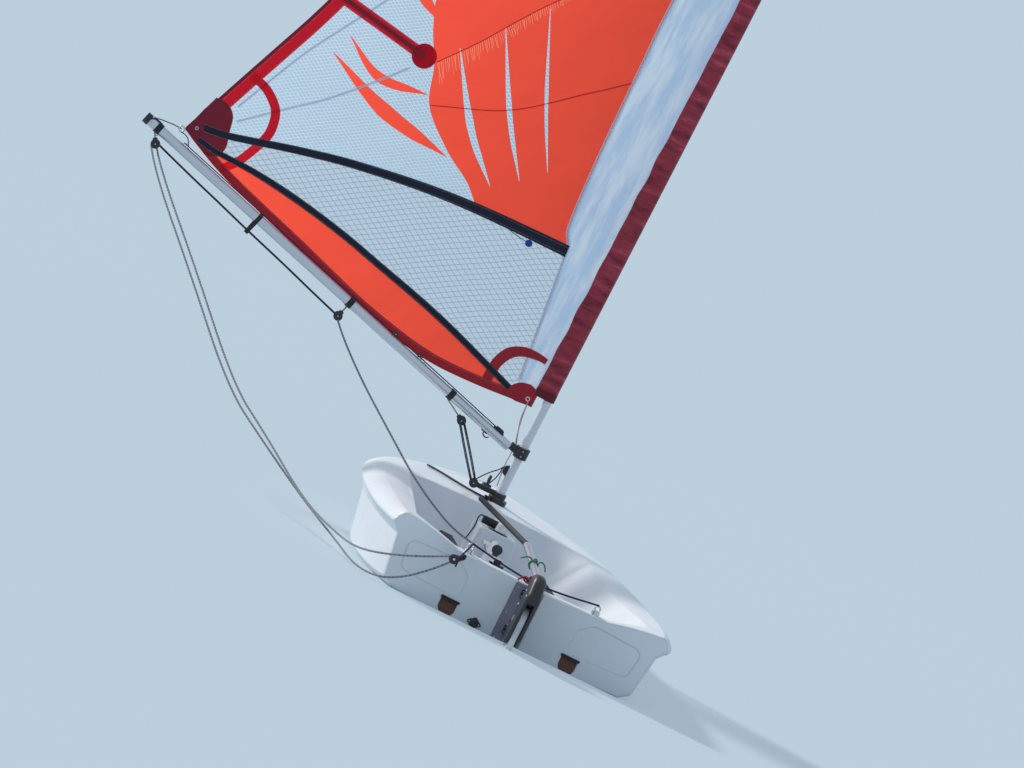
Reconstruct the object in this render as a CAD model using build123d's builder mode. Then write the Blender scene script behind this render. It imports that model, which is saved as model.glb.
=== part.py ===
from build123d import *
import os
from math import cos, radians, sin

os.makedirs("parts", exist_ok=True)

# A one-person sailing dinghy in millimetres: X to starboard, Y to the bow, Z up.
# The origin is on the centreline at half length, at the still waterline of the empty boat.
# Stations run forward from the transom, heights run up from a base line at the foot of the transom.
hull_length = 2750
waterline = 25

# Cockpit, spine and wells
floor_height, floor_radius = 92, 34
spine_height = 256
board_station = 1655
board_chord, board_thickness = 270, 20
board_gap = 6
mast_station = 2065
mast_well_bottom = 60

# Rudder
pintle_gap = 46
pintle_radius, pintle_play = 4, 0.06
pintle_heights = (66, 196)
head_thickness, cheek_gap = 48, 25
blade_pivot_aft, blade_pivot_height = 84, 122
blade_thickness = 20
tiller_radius, tiller_end_forward = 13, 648
tiller_heel_height, tiller_end_height = 262, 313
extension_radius, extension_length = 10, 850
extension_port_angle, extension_rise_angle = 8, 2

# Rig, in its own frame: aft along the foot, to windward, and up the mast from the deck
mast_rake = 6.6
boom_swing = 88.5
mast_radius, mast_tip_radius, mast_bush = 17, 13, 4
mast_play = 0.5
mast_collar_height = 345
mast_foot, mast_joint, mast_top = -280, 2050, 4075
gooseneck_height, gooseneck_reach = 200, 56
boom_radius, boom_length, boom_rise = 19, 1850, 16.1
sleeve_bottom, sleeve_top = 426, 4050
sail_thickness = 5
clew_aft, clew_height = 1697, 730
vang_strap_reach, vang_foot_reach, vang_foot_height = 301, 112, 14
end_block_reach, end_strap_reach = 1776, 1806
mid_block_reach = 826
strap_band = 12
vang_collar_height = 4
cleat_height, cleat_length, cleat_depth = 92, 44, 16
snug = 0.03


def at(station):
    return station - hull_length / 2


def up(height):
    return height - waterline


def frame_plane(station):
    """Upright plane across the hull: local x to starboard, local y up."""
    return Plane(origin=(0, at(station), 0), x_dir=(1, 0, 0), z_dir=(0, -1, 0))


# The rig's own frame: local x runs aft beside the boom, -y to leeward, z up the mast
mast_line = Vector(0, -sin(radians(mast_rake)), cos(radians(mast_rake)))
leeward = Vector(-cos(radians(boom_swing)), sin(radians(boom_swing)), 0)
rig = Plane(
    origin=(0, at(mast_station), up(mast_collar_height)),
    x_dir=mast_line.cross(leeward).normalized(),
    z_dir=mast_line,
)


def rig_point(aft, height, windward=0):
    return rig.from_local_coords(Vector(aft, windward, height))


def rig_line(aft, height, windward=0):
    return (rig_point(aft, height, windward) - rig_point(0, 0)).normalized()


# Hull: one moulding with two chines, near upright topsides and a broad shoulder under the side deck
hull_sections = (
    # station, keel, low chine x, z, high chine x, z, topside x, z, lip x, z, ridge x, z, deck edge x, z, crown
    (9, 4, 420, 24, 458, 50, 480, 196, 510, 231, 474, 275, 270, 236, 229),
    (230, -5, 446, 11, 492, 43, 516, 200, 548, 235, 494, 279, 330, 250, 236),
    (620, -17, 470, -6, 524, 40, 546, 204, 570, 239, 506, 283, 390, 264, 243),
    (1120, -23, 470, -6, 526, 44, 554, 208, 573, 243, 506, 287, 408, 276, 254),
    (1650, -19, 412, 12, 476, 70, 528, 218, 554, 250, 482, 296, 360, 292, 290),
    (2140, 0, 272, 58, 370, 126, 438, 238, 476, 272, 414, 307, 262, 320, 334),
    (2510, 24, 128, 100, 206, 178, 256, 266, 285, 297, 252, 325, 146, 337, 343),
    (2750, 84, 8, 140, 14, 214, 20, 292, 36, 322, 30, 342, 14, 346, 347),
)
transom_section = (0, 9, 415, 29, 452, 53, 475, 196, 504, 232, 471, 270, 268, 231, 224)
lip_nose, shoulder_bulge, deck_bulge = 10, 6, 5
dish_outlines = (
    # height, aft end, fore end, half width aft, half width fore, corner radius
    (floor_height, 120, 1700, 312, 236, 90),
    (190, 78, 1768, 380, 296, 120),
    (330, 8, 1880, 484, 400, 150),
)
spine_base = (176, 1470, 2000, 26)
spine_draft, spine_radius = 5, 8
fin_sections = (
    # station, top, half width at the top and at the floor
    (1520, 246, 17, 40),
    (1200, 170, 17, 36),
    (1000, 138, 15, 32),
    (740, 90, 12, 26),
)
sheet_post_station, sheet_post_height = 1150, 168
pedestal_radii = (46, 33)
scupper_x, scupper_centre, scupper_radius, scupper_top = 222, 46, 30, 26
scupper_well = (84, 162)
skeg_x, skeg_depth, skeg_half_width, skeg_run = 174, 62, 46, 620
recess_width, recess_height, recess_depth, recess_bottom = 100, 230, 5, 12
panel_depth, panel_corner = 3, 26
panel_outline = ((200, 86), (202, 168), (250, 206), (412, 200), (430, 182), (418, 96))


def hull_frame(
    station, keel, low_x, low_z, high_x, high_z, side_x, side_z, lip_x, lip_z, ridge_x, ridge_z, edge_x, edge_z, crown
):
    """One frame: from the keel round the shoulder to the centre of the deck, and its mirror image."""
    nose = min(lip_nose, lip_x / 6)
    under = Vector(lip_x - nose, up(lip_z - nose))
    over = Vector(lip_x - nose / 2, up(lip_z + nose))
    ridge, edge = Vector(ridge_x, up(ridge_z)), Vector(edge_x, up(edge_z))
    shoulder_out = (over - ridge).normalized().rotate(Axis.Z, 90)
    with BuildSketch(frame_plane(station)) as frame:
        with BuildLine():
            Polyline((0, up(keel)), (low_x, up(low_z)), (high_x, up(high_z)), (side_x, up(side_z)), under)
            ThreePointArc(under, (lip_x, up(lip_z)), over)
            ThreePointArc(over, (over + ridge) / 2 + shoulder_out * shoulder_bulge, ridge)
            ThreePointArc(ridge, (ridge + edge) / 2 + Vector(0, deck_bulge), edge)
            Line(edge, (0, up(crown)))
            mirror(about=Plane.YZ)
        make_face()
    return frame.sketch


def dish_outline(height, aft, fore, half_aft, half_fore, corner):
    """The cockpit at one height, seen from above, tapered forward with rounded corners."""
    with BuildSketch(Plane.XY.offset(up(height))) as outline:
        with BuildLine():
            Polyline(
                (-half_aft, at(aft)),
                (half_aft, at(aft)),
                (half_fore, at(fore)),
                (-half_fore, at(fore)),
                close=True,
            )
        make_face()
        fillet(outline.vertices(), corner)
    return outline.sketch


def fin_section(station, top, half_top, half_base):
    """The narrow fin behind the spine, cut across, with a round top."""
    with BuildSketch(frame_plane(station)) as section:
        with BuildLine():
            Polyline(
                (-half_top, up(top - half_top)),
                (-half_base, up(floor_height - 20)),
                (half_base, up(floor_height - 20)),
                (half_top, up(top - half_top)),
            )
            ThreePointArc((half_top, up(top - half_top)), (0, up(top)), (-half_top, up(top - half_top)))
        make_face()
    return section.sketch


with BuildPart() as dish:
    loft([dish_outline(*row) for row in dish_outlines])
    fillet(dish.edges().group_by(Axis.Z)[0], floor_radius)

# The spine carries the board well, and a fin slopes from it down to the cockpit floor
with BuildPart() as spine:
    with BuildSketch(Plane.XY.offset(up(floor_height - 8))) as spine_foot:
        with Locations((0, at((spine_base[1] + spine_base[2]) / 2))):
            RectangleRounded(spine_base[0], spine_base[2] - spine_base[1], spine_base[3])
    extrude(amount=spine_height - floor_height + 8, taper=spine_draft)
    fillet(spine.edges().group_by(Axis.Z)[-1], spine_radius)

with BuildPart() as fin:
    loft([fin_section(*row) for row in fin_sections])

with BuildPart() as hull:
    loft([hull_frame(*row) for row in hull_sections])
    loft([hull_frame(*transom_section), hull_frame(*hull_sections[0])], ruled=True)
    add(dish.part, mode=Mode.SUBTRACT)
    add(spine.part)
    add(fin.part)
    with Locations((0, at(sheet_post_station), up(floor_height - 8))):
        Cone(*pedestal_radii, sheet_post_height - floor_height + 8, align=(Align.CENTER, Align.CENTER, Align.MIN))
    with BuildSketch(Plane.XY.offset(up(-80))):
        with Locations((0, at(board_station))):
            SlotOverall(board_chord + 2 * board_gap, board_thickness + 2 * board_gap, rotation=90)
    extrude(amount=450, mode=Mode.SUBTRACT)
    with BuildSketch(rig.offset(60)):
        Circle(mast_radius + mast_bush)
    extrude(amount=-(60 + mast_collar_height - mast_well_bottom), mode=Mode.SUBTRACT)
    for side in (-1, 1):
        with BuildSketch(frame_plane(0)):
            with Locations((side * scupper_x, up(scupper_centre))):
                Circle(scupper_radius)
            with Locations((side * scupper_x, up(scupper_centre + scupper_top / 2))):
                Rectangle(2 * scupper_radius, scupper_top)
        extrude(amount=-scupper_well[1], mode=Mode.SUBTRACT)
        with BuildSketch(Plane.XY.offset(up(scupper_centre - scupper_radius + 4))):
            with Locations((side * scupper_x, at(sum(scupper_well) / 2))):
                RectangleRounded(2 * scupper_radius, scupper_well[1] - scupper_well[0], 12)
        extrude(amount=floor_height, mode=Mode.SUBTRACT)
        with BuildSketch(frame_plane(0)) as panel:
            with BuildLine():
                Polyline([(side * x, up(height)) for x, height in panel_outline], close=True)
            make_face()
            fillet(panel.vertices(), panel_corner)
        extrude(amount=-panel_depth, mode=Mode.SUBTRACT)
        with BuildSketch(frame_plane(8)):
            with Locations((side * skeg_x, up(0))):
                with BuildLine():
                    Polyline((-skeg_half_width, 14), (skeg_half_width, 14), (6, -skeg_depth), (-6, -skeg_depth), close=True)
                make_face()
        with BuildSketch(frame_plane(skeg_run)):
            with Locations((side * skeg_x, up(0))):
                with BuildLine():
                    Polyline((-12, 14), (12, 14), (3, 4), (-3, 4), close=True)
                make_face()
        loft()
    with BuildSketch(frame_plane(0)):
        with Locations((0, up(recess_bottom + recess_height / 2))):
            Rectangle(recess_width, recess_height)
    extrude(amount=-recess_depth, mode=Mode.SUBTRACT)


# Fittings of the hull
plate_height, plate_proud = 212, 1
gudgeon_flange = (44, 32, 4)
gudgeon_eye, gudgeon_height = 10, 18
bung_x, bung_height = -118, 40
eye_ring, eye_wire, eye_base = 9, 3, (15, 5)
eye_x, eye_station = 235, 32
strap_width, strap_thickness, strap_x = 50, 3, 190
collar_radius = 38
bow_eye_station, bow_eye_height, bow_eye_hole = 2650, 372, 8
pintle_y = at(-pintle_gap)

with BuildPart() as transom_plate:
    with BuildSketch(frame_plane(recess_depth)):
        with Locations((0, up(recess_bottom + 2 + plate_height / 2))):
            RectangleRounded(recess_width - 3, plate_height, 8)
    extrude(amount=recess_depth + plate_proud)


def gudgeon(height):
    """Flange on the transom plate with a bored tongue that reaches the rudder's axis."""
    with BuildPart() as piece:
        with BuildSketch(frame_plane(-plate_proud)):
            with Locations((0, up(height))):
                RectangleRounded(gudgeon_flange[0], gudgeon_flange[1], 5)
        extrude(amount=gudgeon_flange[2])
        with BuildSketch(Plane.XY.offset(up(height - gudgeon_height / 2))):
            with Locations((0, pintle_y)):
                Circle(gudgeon_eye)
            with Locations((0, (pintle_y + at(-plate_proud)) / 2)):
                Rectangle(2 * gudgeon_eye - 4, pintle_gap - plate_proud)
        extrude(amount=gudgeon_height)
        with BuildSketch(Plane.XY.offset(up(height - gudgeon_height / 2))):
            with Locations((0, pintle_y)):
                Circle(pintle_radius + pintle_play)
        extrude(amount=gudgeon_height, mode=Mode.SUBTRACT)
    return piece


gudgeon_lower = gudgeon(pintle_heights[0])
gudgeon_upper = gudgeon(pintle_heights[1])

with BuildPart() as drain_bung:
    with BuildSketch(frame_plane(0)):
        with Locations((bung_x, up(bung_height))):
            Rectangle(26, 26, rotation=45)
    extrude(amount=3)
    with BuildSketch(frame_plane(-3)):
        with Locations((bung_x, up(bung_height))):
            Circle(8)
    extrude(amount=4)


def scupper_lip(side):
    """Rubber lip along the flat top of a scupper, on the face of the transom."""
    with BuildPart() as piece:
        with BuildSketch(frame_plane(0)):
            with Locations((side * scupper_x, up(scupper_centre + scupper_top + 3))):
                RectangleRounded(2 * scupper_radius + 8, 9, 3)
        extrude(amount=4)
    return piece


def bridle_eye(side):
    """Ring on a round base that sits on the rim of the transom."""
    with BuildPart() as piece:
        with Locations((side * eye_x, at(eye_station), up(240))):
            Cylinder(eye_base[0], 20)
        with Locations((side * eye_x, at(eye_station), up(250 + eye_ring))):
            Torus(eye_ring, eye_wire, rotation=(90, 0, 0))
        add(hull.part, mode=Mode.SUBTRACT)
    return piece


def hiking_strap(side):
    """Webbing from the front of the cockpit, over the floor, to its aft wall."""
    with BuildPart() as piece:
        with BuildSketch(Plane.YZ.offset(side * strap_x - strap_width / 2)):
            with BuildLine():
                Polyline(
                    (at(1600), up(floor_height + 4)),
                    (at(1380), up(floor_height + 88)),
                    (at(380), up(floor_height + 80)),
                    (at(170), up(floor_height + 4)),
                )
            trace(line_width=strap_thickness)
        extrude(amount=strap_width)
    return piece


# Mainsheet swivel on its pedestal: a fixed post, an arm that points to the boom and a ratchet block
arm_turn, arm_width, arm_thickness, arm_length = 193, 28, 5, 52
sheave_radius, cheek_thickness, sheave_width = 15, 3, 8
block_lug = sheave_radius + 9
arm_height = sheet_post_height + 24
arm_plane = Plane(
    origin=(0, at(sheet_post_station), up(arm_height)),
    x_dir=(cos(radians(arm_turn)), sin(radians(arm_turn)), 0),
    z_dir=(sin(radians(arm_turn)), -cos(radians(arm_turn)), 0),
)

with BuildPart() as sheet_post:
    with Locations((0, at(sheet_post_station), up(sheet_post_height))):
        Cylinder(29, 7, align=(Align.CENTER, Align.CENTER, Align.MIN))
        Cylinder(14, 24, align=(Align.CENTER, Align.CENTER, Align.MIN))
    add(hull.part, mode=Mode.SUBTRACT)

with BuildPart() as sheet_arm:
    with BuildSketch(arm_plane.offset(-arm_width / 2)):
        with BuildLine():
            Polyline((-16, arm_thickness / 2), (arm_length, arm_thickness / 2), (arm_length + 22, 30))
        trace(line_width=arm_thickness)
    extrude(amount=arm_width)
    with BuildSketch(arm_plane.offset(-6)):
        with Locations((arm_length + 16, 36)):
            RectangleRounded(34, 16, 5)
    extrude(amount=12)


def block(centre, head, axis):
    """A pulley block: two cheeks and a grooved sheave on a pin, with a lug towards its fastening."""
    face = Plane(origin=centre, x_dir=(head - centre).normalized(), z_dir=axis)
    wide = sheave_width + 3 + 2 * cheek_thickness
    with BuildPart() as piece:
        with BuildSketch(face.offset(-wide / 2)):
            Circle(sheave_radius + 3)
            with Locations((block_lug / 2, 0)):
                RectangleRounded(block_lug, 18, 4)
        extrude(amount=wide)
        with BuildSketch(face.offset(-(sheave_width + 3) / 2)):
            with Locations((-8, 0)):
                Rectangle(2 * sheave_radius + 24, 2 * sheave_radius + 10)
        extrude(amount=sheave_width + 3, mode=Mode.SUBTRACT)
        with BuildSketch(face.offset(-wide / 2 - 1)):
            Circle(4)
        extrude(amount=wide + 2)
        for end in (-1, 1):
            with BuildSketch(face.offset(end * sheave_width / 2)):
                Circle(sheave_radius)
            with BuildSketch(face):
                Circle(sheave_radius - 4)
            loft()
    return piece


sheet_block = block(
    arm_plane.from_local_coords(Vector(22, sheave_radius + 14, 0)),
    arm_plane.from_local_coords(Vector(22, arm_thickness, 0)),
    arm_plane.z_dir,
)

with BuildPart() as mast_collar:
    with BuildSketch(rig):
        Circle(collar_radius)
    extrude(amount=-60)
    add(hull.part, mode=Mode.SUBTRACT)
    with BuildSketch(rig):
        Circle(mast_radius + mast_play)
    extrude(amount=-60, mode=Mode.SUBTRACT)

with BuildPart() as board_frame:
    with BuildSketch(Plane.XY.offset(up(spine_height))):
        with Locations((0, at(board_station))):
            SlotOverall(board_chord + 50, board_thickness + 50, rotation=90)
            SlotOverall(board_chord + 2 * board_gap, board_thickness + 2 * board_gap, rotation=90, mode=Mode.SUBTRACT)
    extrude(amount=3)

with BuildPart() as bow_eye:
    with BuildSketch(Plane.YZ.offset(-5)):
        with Locations((at(bow_eye_station), up(bow_eye_height))):
            Circle(18)
        with Locations((at(bow_eye_station), up(bow_eye_height - 20))):
            Rectangle(36, 40)
        with Locations((at(bow_eye_station), up(bow_eye_height))):
            Circle(bow_eye_hole, mode=Mode.SUBTRACT)
    extrude(amount=10)
    with Locations((0, at(bow_eye_station), up(344))):
        Box(34, 60, 18)
    add(hull.part, mode=Mode.SUBTRACT)
    split(bisect_by=Plane.XY.offset(up(336)), keep=Keep.TOP)

# Rudder: cheeked head on one long pin, with a tiller on top and a blade that kicks up
head_front, head_aft, head_bottom, head_top, head_corner = 16, 150, 38, 284, 12
neck_radius, slot_radius = 50, 54
pin_bottom, pin_top = 46, 232
pivot_radius, pivot_play = 5, 0.06
tiller_start = Vector(0, pintle_y - 92, up(tiller_heel_height - 4))
tiller_stop = Vector(0, pintle_y + tiller_end_forward, up(tiller_end_height))
tiller_line = (tiller_stop - tiller_start).normalized()
blade_pivot_y = pintle_y - blade_pivot_aft
joint_radius, joint_reach = 11, 20

with BuildPart() as rudder_head:
    with BuildSketch(Plane.YZ.offset(-head_thickness / 2)) as cheek:
        with BuildLine():
            Polyline(
                (pintle_y - head_front, up(head_bottom)),
                (pintle_y - head_front, up(head_top)),
                (pintle_y - 96, up(head_top)),
                (pintle_y - head_aft, up(212)),
                (pintle_y - head_aft, up(70)),
                (pintle_y - 118, up(head_bottom)),
                close=True,
            )
        make_face()
        fillet(cheek.vertices(), head_corner)
    extrude(amount=head_thickness)
    for height in pintle_heights:
        with BuildSketch(Plane.XY.offset(up(height + gudgeon_height / 2 + 0.6))):
            with Locations((0, pintle_y)):
                Circle(gudgeon_eye + 2)
            with Locations((0, pintle_y - head_front / 2)):
                Rectangle(2 * gudgeon_eye + 4, head_front)
        extrude(amount=20)
    with BuildSketch(Plane.XY):
        with Locations((0, pintle_y)):
            Circle(pintle_radius + 0.03)
    extrude(amount=400, both=True, mode=Mode.SUBTRACT)
    with BuildSketch(Plane.YZ.offset(-cheek_gap / 2)):
        with Locations((blade_pivot_y, up(blade_pivot_height))):
            Circle(slot_radius)
        with Locations((blade_pivot_y, up(blade_pivot_height - 75))):
            Rectangle(2 * slot_radius, 150)
        with Locations((blade_pivot_y - 75, up(blade_pivot_height - 17))):
            Rectangle(150, 2 * slot_radius + 58)
    extrude(amount=cheek_gap, mode=Mode.SUBTRACT)
    with BuildSketch(Plane(origin=tiller_start, z_dir=tiller_line)):
        Circle(tiller_radius + 0.03)
    extrude(amount=200, mode=Mode.SUBTRACT)
    with BuildSketch(Plane.YZ):
        with Locations((blade_pivot_y, up(blade_pivot_height))):
            Circle(pivot_radius + 0.03)
    extrude(amount=head_thickness, both=True, mode=Mode.SUBTRACT)

with BuildPart() as pintle_pin:
    with BuildSketch(Plane.XY.offset(up(pin_bottom))):
        with Locations((0, pintle_y)):
            Circle(pintle_radius)
    extrude(amount=pin_top - pin_bottom)
    with BuildSketch(Plane.XY.offset(up(pin_top))):
        with Locations((0, pintle_y)):
            Circle(pintle_radius + 3)
    extrude(amount=4)

with BuildPart() as blade_pivot:
    with BuildSketch(Plane.YZ.offset(-head_thickness / 2 - 4)):
        with Locations((blade_pivot_y, up(blade_pivot_height))):
            Circle(pivot_radius)
    extrude(amount=head_thickness + 8)
    for start in (-head_thickness / 2 - 4, head_thickness / 2 + 0.02):
        with BuildSketch(Plane.YZ.offset(start)):
            with Locations((blade_pivot_y, up(blade_pivot_height))):
                RegularPolygon(11, 6)
        extrude(amount=4 - 0.02)

with BuildPart() as tiller:
    with BuildSketch(Plane(origin=tiller_start, z_dir=tiller_line)):
        Circle(tiller_radius)
    extrude(amount=(tiller_stop - tiller_start).length)

port_turn, rise_turn = radians(extension_port_angle), radians(extension_rise_angle)
extension_line = Vector(-sin(port_turn) * cos(rise_turn), cos(port_turn) * cos(rise_turn), sin(rise_turn))
knuckle = tiller_stop + tiller_line * joint_reach

with BuildPart() as tiller_joint:
    with BuildSketch(Plane(origin=tiller_stop, z_dir=tiller_line)):
        Circle(joint_radius)
    extrude(amount=joint_reach)
    with BuildSketch(Plane(origin=knuckle, z_dir=extension_line)):
        Circle(joint_radius)
    extrude(amount=joint_reach)
    with Locations(knuckle):
        Sphere(joint_radius)

with BuildPart() as tiller_extension:
    with BuildSketch(Plane(origin=knuckle + extension_line * joint_reach, z_dir=extension_line)):
        Circle(extension_radius)
    extrude(amount=extension_length)



def foil(plane, lead, trail, thickness):
    """A symmetric foil section: round nose, fullest a third of the way back, thin trailing edge."""
    nose, half, tail = 0.3 * thickness, thickness / 2, foil_tail / 2
    full = lead - (lead - trail) / 3
    with BuildSketch(plane) as section:
        with BuildLine():
            ThreePointArc((lead - nose, nose), (lead, 0), (lead - nose, -nose))
            ThreePointArc((lead - nose, -nose), (full, -half), (trail, -tail))
            Line((trail, -tail), (trail, tail))
            ThreePointArc((trail, tail), (full, half), (lead - nose, nose))
        make_face()
    return section.sketch


foil_tail = 2
blade_root = Plane(origin=(0, blade_pivot_y, up(blade_pivot_height)), x_dir=(0, 1, 0), z_dir=(0, 0, 1))
blade_side = Plane(origin=blade_root.origin, x_dir=(0, 1, 0), z_dir=(1, 0, 0))
blade_sections = (
    # drop below the pivot, leading edge, trailing edge, thickness
    (96, 52, -98, 20),
    (170, 56, -130, 20),
    (540, 30, -128, 18),
    (618, -12, -104, 10),
)
with BuildPart() as rudder_blade:
    loft([foil(blade_root.offset(-drop), *shape) for drop, *shape in blade_sections])
    with BuildSketch(blade_side.offset(-blade_thickness / 2)):
        Circle(neck_radius)
        with Locations((0, -60)):
            Rectangle(2 * neck_radius, 120)
    extrude(amount=blade_thickness)
    with BuildSketch(blade_side):
        Circle(pivot_radius + pivot_play)
    extrude(amount=blade_thickness, both=True, mode=Mode.SUBTRACT)

# Daggerboard, fully down, with a head that stops it on the spine and a grip on its port side
board_head_height, board_head_gap = 30, 6
board_top = spine_height + board_head_gap
board_root = Plane(origin=(0, at(board_station), 0), x_dir=(0, 1, 0), z_dir=(0, 0, 1))
board_sections = (
    # height, leading edge, trailing edge, thickness
    (board_top, 135, -135, 20),
    (-560, 135, -135, 20),
    (-735, 78, -118, 12),
)
grip_radius, grip_length, grip_station, grip_height = 15, 56, 1560, 278

with BuildPart() as daggerboard:
    for upper, lower in zip(board_sections, board_sections[1:]):
        loft([foil(board_root.offset(up(height)), *shape) for height, *shape in (upper, lower)])

with BuildPart() as daggerboard_head:
    with BuildSketch(Plane.XY.offset(up(board_top))):
        with Locations((0, at(board_station))):
            SlotOverall(board_chord + 40, 38, rotation=90)
    extrude(amount=board_head_height, taper=8)
    fillet(daggerboard_head.edges().group_by(Axis.Z)[-1], 4)

with BuildPart() as board_grip:
    with BuildSketch(Plane.YZ.offset(-18 - grip_length)):
        with Locations((at(grip_station), up(grip_height))):
            Circle(grip_radius)
    extrude(amount=grip_length + 10)
    fillet(board_grip.edges().group_by(Axis.X)[0], 4)
    add(daggerboard_head.part, mode=Mode.SUBTRACT)
    split(bisect_by=Plane.YZ.offset(-12), keep=Keep.BOTTOM)

# Rig: two-part mast in a sleeve sail, with boom and vang
rise = radians(boom_rise)
boom_start = rig_point(gooseneck_reach, gooseneck_height)
boom_line = rig_line(cos(rise), sin(rise))
mast_fork = (mast_radius + 11, 44)
sleeve_wrap = ((20, 41, 22), (8, 27, 17))


def boom_point(reach, below=0):
    """A point along the boom's centre line, and square below it."""
    return rig_point(
        gooseneck_reach + reach * cos(rise) + below * sin(rise),
        gooseneck_height + reach * sin(rise) - below * cos(rise),
    )


with BuildPart() as mast_lower:
    with BuildSketch(rig.offset(mast_foot)):
        Circle(mast_radius)
    extrude(amount=mast_joint - mast_foot)

with BuildPart() as mast_upper:
    with BuildSketch(rig.offset(mast_joint)):
        Circle(mast_radius - 1)
    with BuildSketch(rig.offset(mast_top)):
        Circle(mast_tip_radius)
    loft()

with BuildPart() as mast_cap:
    with BuildSketch(rig.offset(mast_top)):
        Circle(mast_tip_radius + 3)
    extrude(amount=18)

with BuildPart() as gooseneck:
    with BuildSketch(rig.offset(gooseneck_height - mast_fork[1] / 2)):
        Circle(mast_fork[0])
    extrude(amount=mast_fork[1])
    with BuildSketch(Plane(origin=rig_point(18, gooseneck_height), z_dir=boom_line)):
        Circle(boom_radius - 3)
    extrude(amount=gooseneck_reach - 18)
    with BuildSketch(rig):
        Circle(mast_radius + snug)
    extrude(amount=400, mode=Mode.SUBTRACT)
    split(bisect_by=Plane(origin=boom_start, z_dir=boom_line), keep=Keep.BOTTOM)

with BuildPart() as boom:
    with BuildSketch(Plane(origin=boom_start, z_dir=boom_line)):
        Circle(boom_radius)
    extrude(amount=boom_length)

with BuildPart() as boom_cap:
    with BuildSketch(Plane(origin=boom_point(boom_length), z_dir=boom_line)):
        Circle(boom_radius + 3)
    extrude(amount=22)

with BuildPart() as luff_sleeve:
    for height, (shift, half_run, half_width) in zip((sleeve_bottom, sleeve_top), sleeve_wrap):
        with BuildSketch(rig.offset(height)):
            with Locations((shift, 0)):
                Ellipse(half_run, half_width)
    loft()
    with BuildSketch(rig.offset(sleeve_bottom - 10)):
        Circle(mast_radius + mast_play)
    with BuildSketch(rig.offset(mast_joint)):
        Circle(mast_radius + mast_play)
    loft(mode=Mode.SUBTRACT)
    with BuildSketch(rig.offset(mast_joint)):
        Circle(mast_radius + mast_play)
    with BuildSketch(rig.offset(sleeve_top + 10)):
        Circle(mast_tip_radius + mast_play + 0.5)
    loft(mode=Mode.SUBTRACT)

# Sail: cambered strips from the sleeve to the leech, lofted from foot to head, then cut along the foot
sail_strips = (
    # height on the luff, rise of the strip and twist to leeward in degrees, luff gap, chord, camber
    (170, 15.1, 0, 64, 1790, 150),
    (1150, 9.9, 3, 59, 1460, 150),
    (2050, 6, 6, 53, 1225, 120),
    (3000, 2, 9, 46, 870, 66),
    (4020, 0, 11, 39, 230, 8),
)


def sail_strip(height, strip_rise, twist, gap, chord, camber):
    """A thin cambered strip of the sail on its own plane."""
    turn, lift = radians(twist), radians(strip_rise)
    run = rig_line(cos(turn) * cos(lift), sin(lift), -sin(turn) * cos(lift))
    side = rig_line(-sin(turn), 0, -cos(turn))
    strip_plane = Plane(origin=rig_point(0, height), x_dir=run, z_dir=run.cross(side))
    half = sail_thickness / 2
    deepest = gap + 0.45 * (chord - gap)
    with BuildSketch(strip_plane) as strip:
        with BuildLine():
            ThreePointArc((gap, half), (deepest, camber + half), (chord, half))
            Line((chord, half), (chord, -half))
            ThreePointArc((chord, -half), (deepest, camber - half), (gap, -half))
            Line((gap, -half), (gap, half))
        make_face()
    return strip.sketch


foot_curve = ((20, 392), (506, 346), (783, 401), (1334, 580), (clew_aft + 40, clew_height + 15))
with BuildPart() as sail:
    loft([sail_strip(*row) for row in sail_strips])
    with BuildSketch(Plane(origin=rig_point(0, 0), x_dir=rig.x_dir, z_dir=-rig.y_dir)):
        with BuildLine():
            Spline(*foot_curve)
            Polyline(foot_curve[-1], (foot_curve[-1][0], 0), (foot_curve[0][0], 0), foot_curve[0])
        make_face()
    extrude(amount=600, both=True, mode=Mode.SUBTRACT)

with BuildPart() as clew_ring:
    with Locations(Plane(origin=rig_point(clew_aft + 16, clew_height + 8), x_dir=rig.x_dir, z_dir=-rig.y_dir)):
        Torus(11, 3)


vang_upper_centre, vang_lower_centre = boom_point(203, 47), rig_point(vang_foot_reach, vang_foot_height)
end_block_centre, mid_block_centre = boom_point(end_block_reach, 52), boom_point(mid_block_reach, 69)
sheave_axis = -rig.y_dir


def strap_foot(reach):
    """Where the tail of a boom band is sewn on, at the boom's underside."""
    return boom_point(reach, boom_radius + 2)


def boom_strap(reach, block_centre):
    """A band round the boom with a tail of webbing that reaches the lug of its block."""
    tail = (strap_foot(reach) - block_centre).normalized()
    tail_start = block_centre + tail * block_lug
    with BuildPart() as piece:
        with BuildSketch(Plane(origin=boom_point(reach), z_dir=boom_line)):
            Circle(boom_radius + 3)
        extrude(amount=strap_band, both=True)
        with BuildSketch(Plane(origin=tail_start, z_dir=tail, x_dir=sheave_axis)):
            RectangleRounded(10, 5, 1)
        extrude(amount=(strap_foot(reach) - tail_start).length)
        with BuildSketch(Plane(origin=boom_start, z_dir=boom_line)):
            Circle(boom_radius + snug)
        extrude(amount=boom_length, mode=Mode.SUBTRACT)
    return piece


vang_strap = boom_strap(vang_strap_reach, vang_upper_centre)
mid_strap = boom_strap(mid_block_reach, mid_block_centre)
end_strap = boom_strap(end_strap_reach, end_block_centre)

tang_end = vang_foot_reach - block_lug - 1
with BuildPart() as vang_collar:
    with BuildSketch(rig.offset(vang_collar_height)):
        Circle(mast_radius + 9)
        with Locations((tang_end / 2, 0)):
            Rectangle(tang_end, 10)
        Circle(mast_radius + snug, mode=Mode.SUBTRACT)
    extrude(amount=20)

with BuildPart() as mast_cleat:
    with BuildSketch(rig.offset(cleat_height)):
        with Locations((mast_radius + snug + cleat_depth / 2, 0)):
            Rectangle(cleat_depth, 14)
    extrude(amount=cleat_length)

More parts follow.
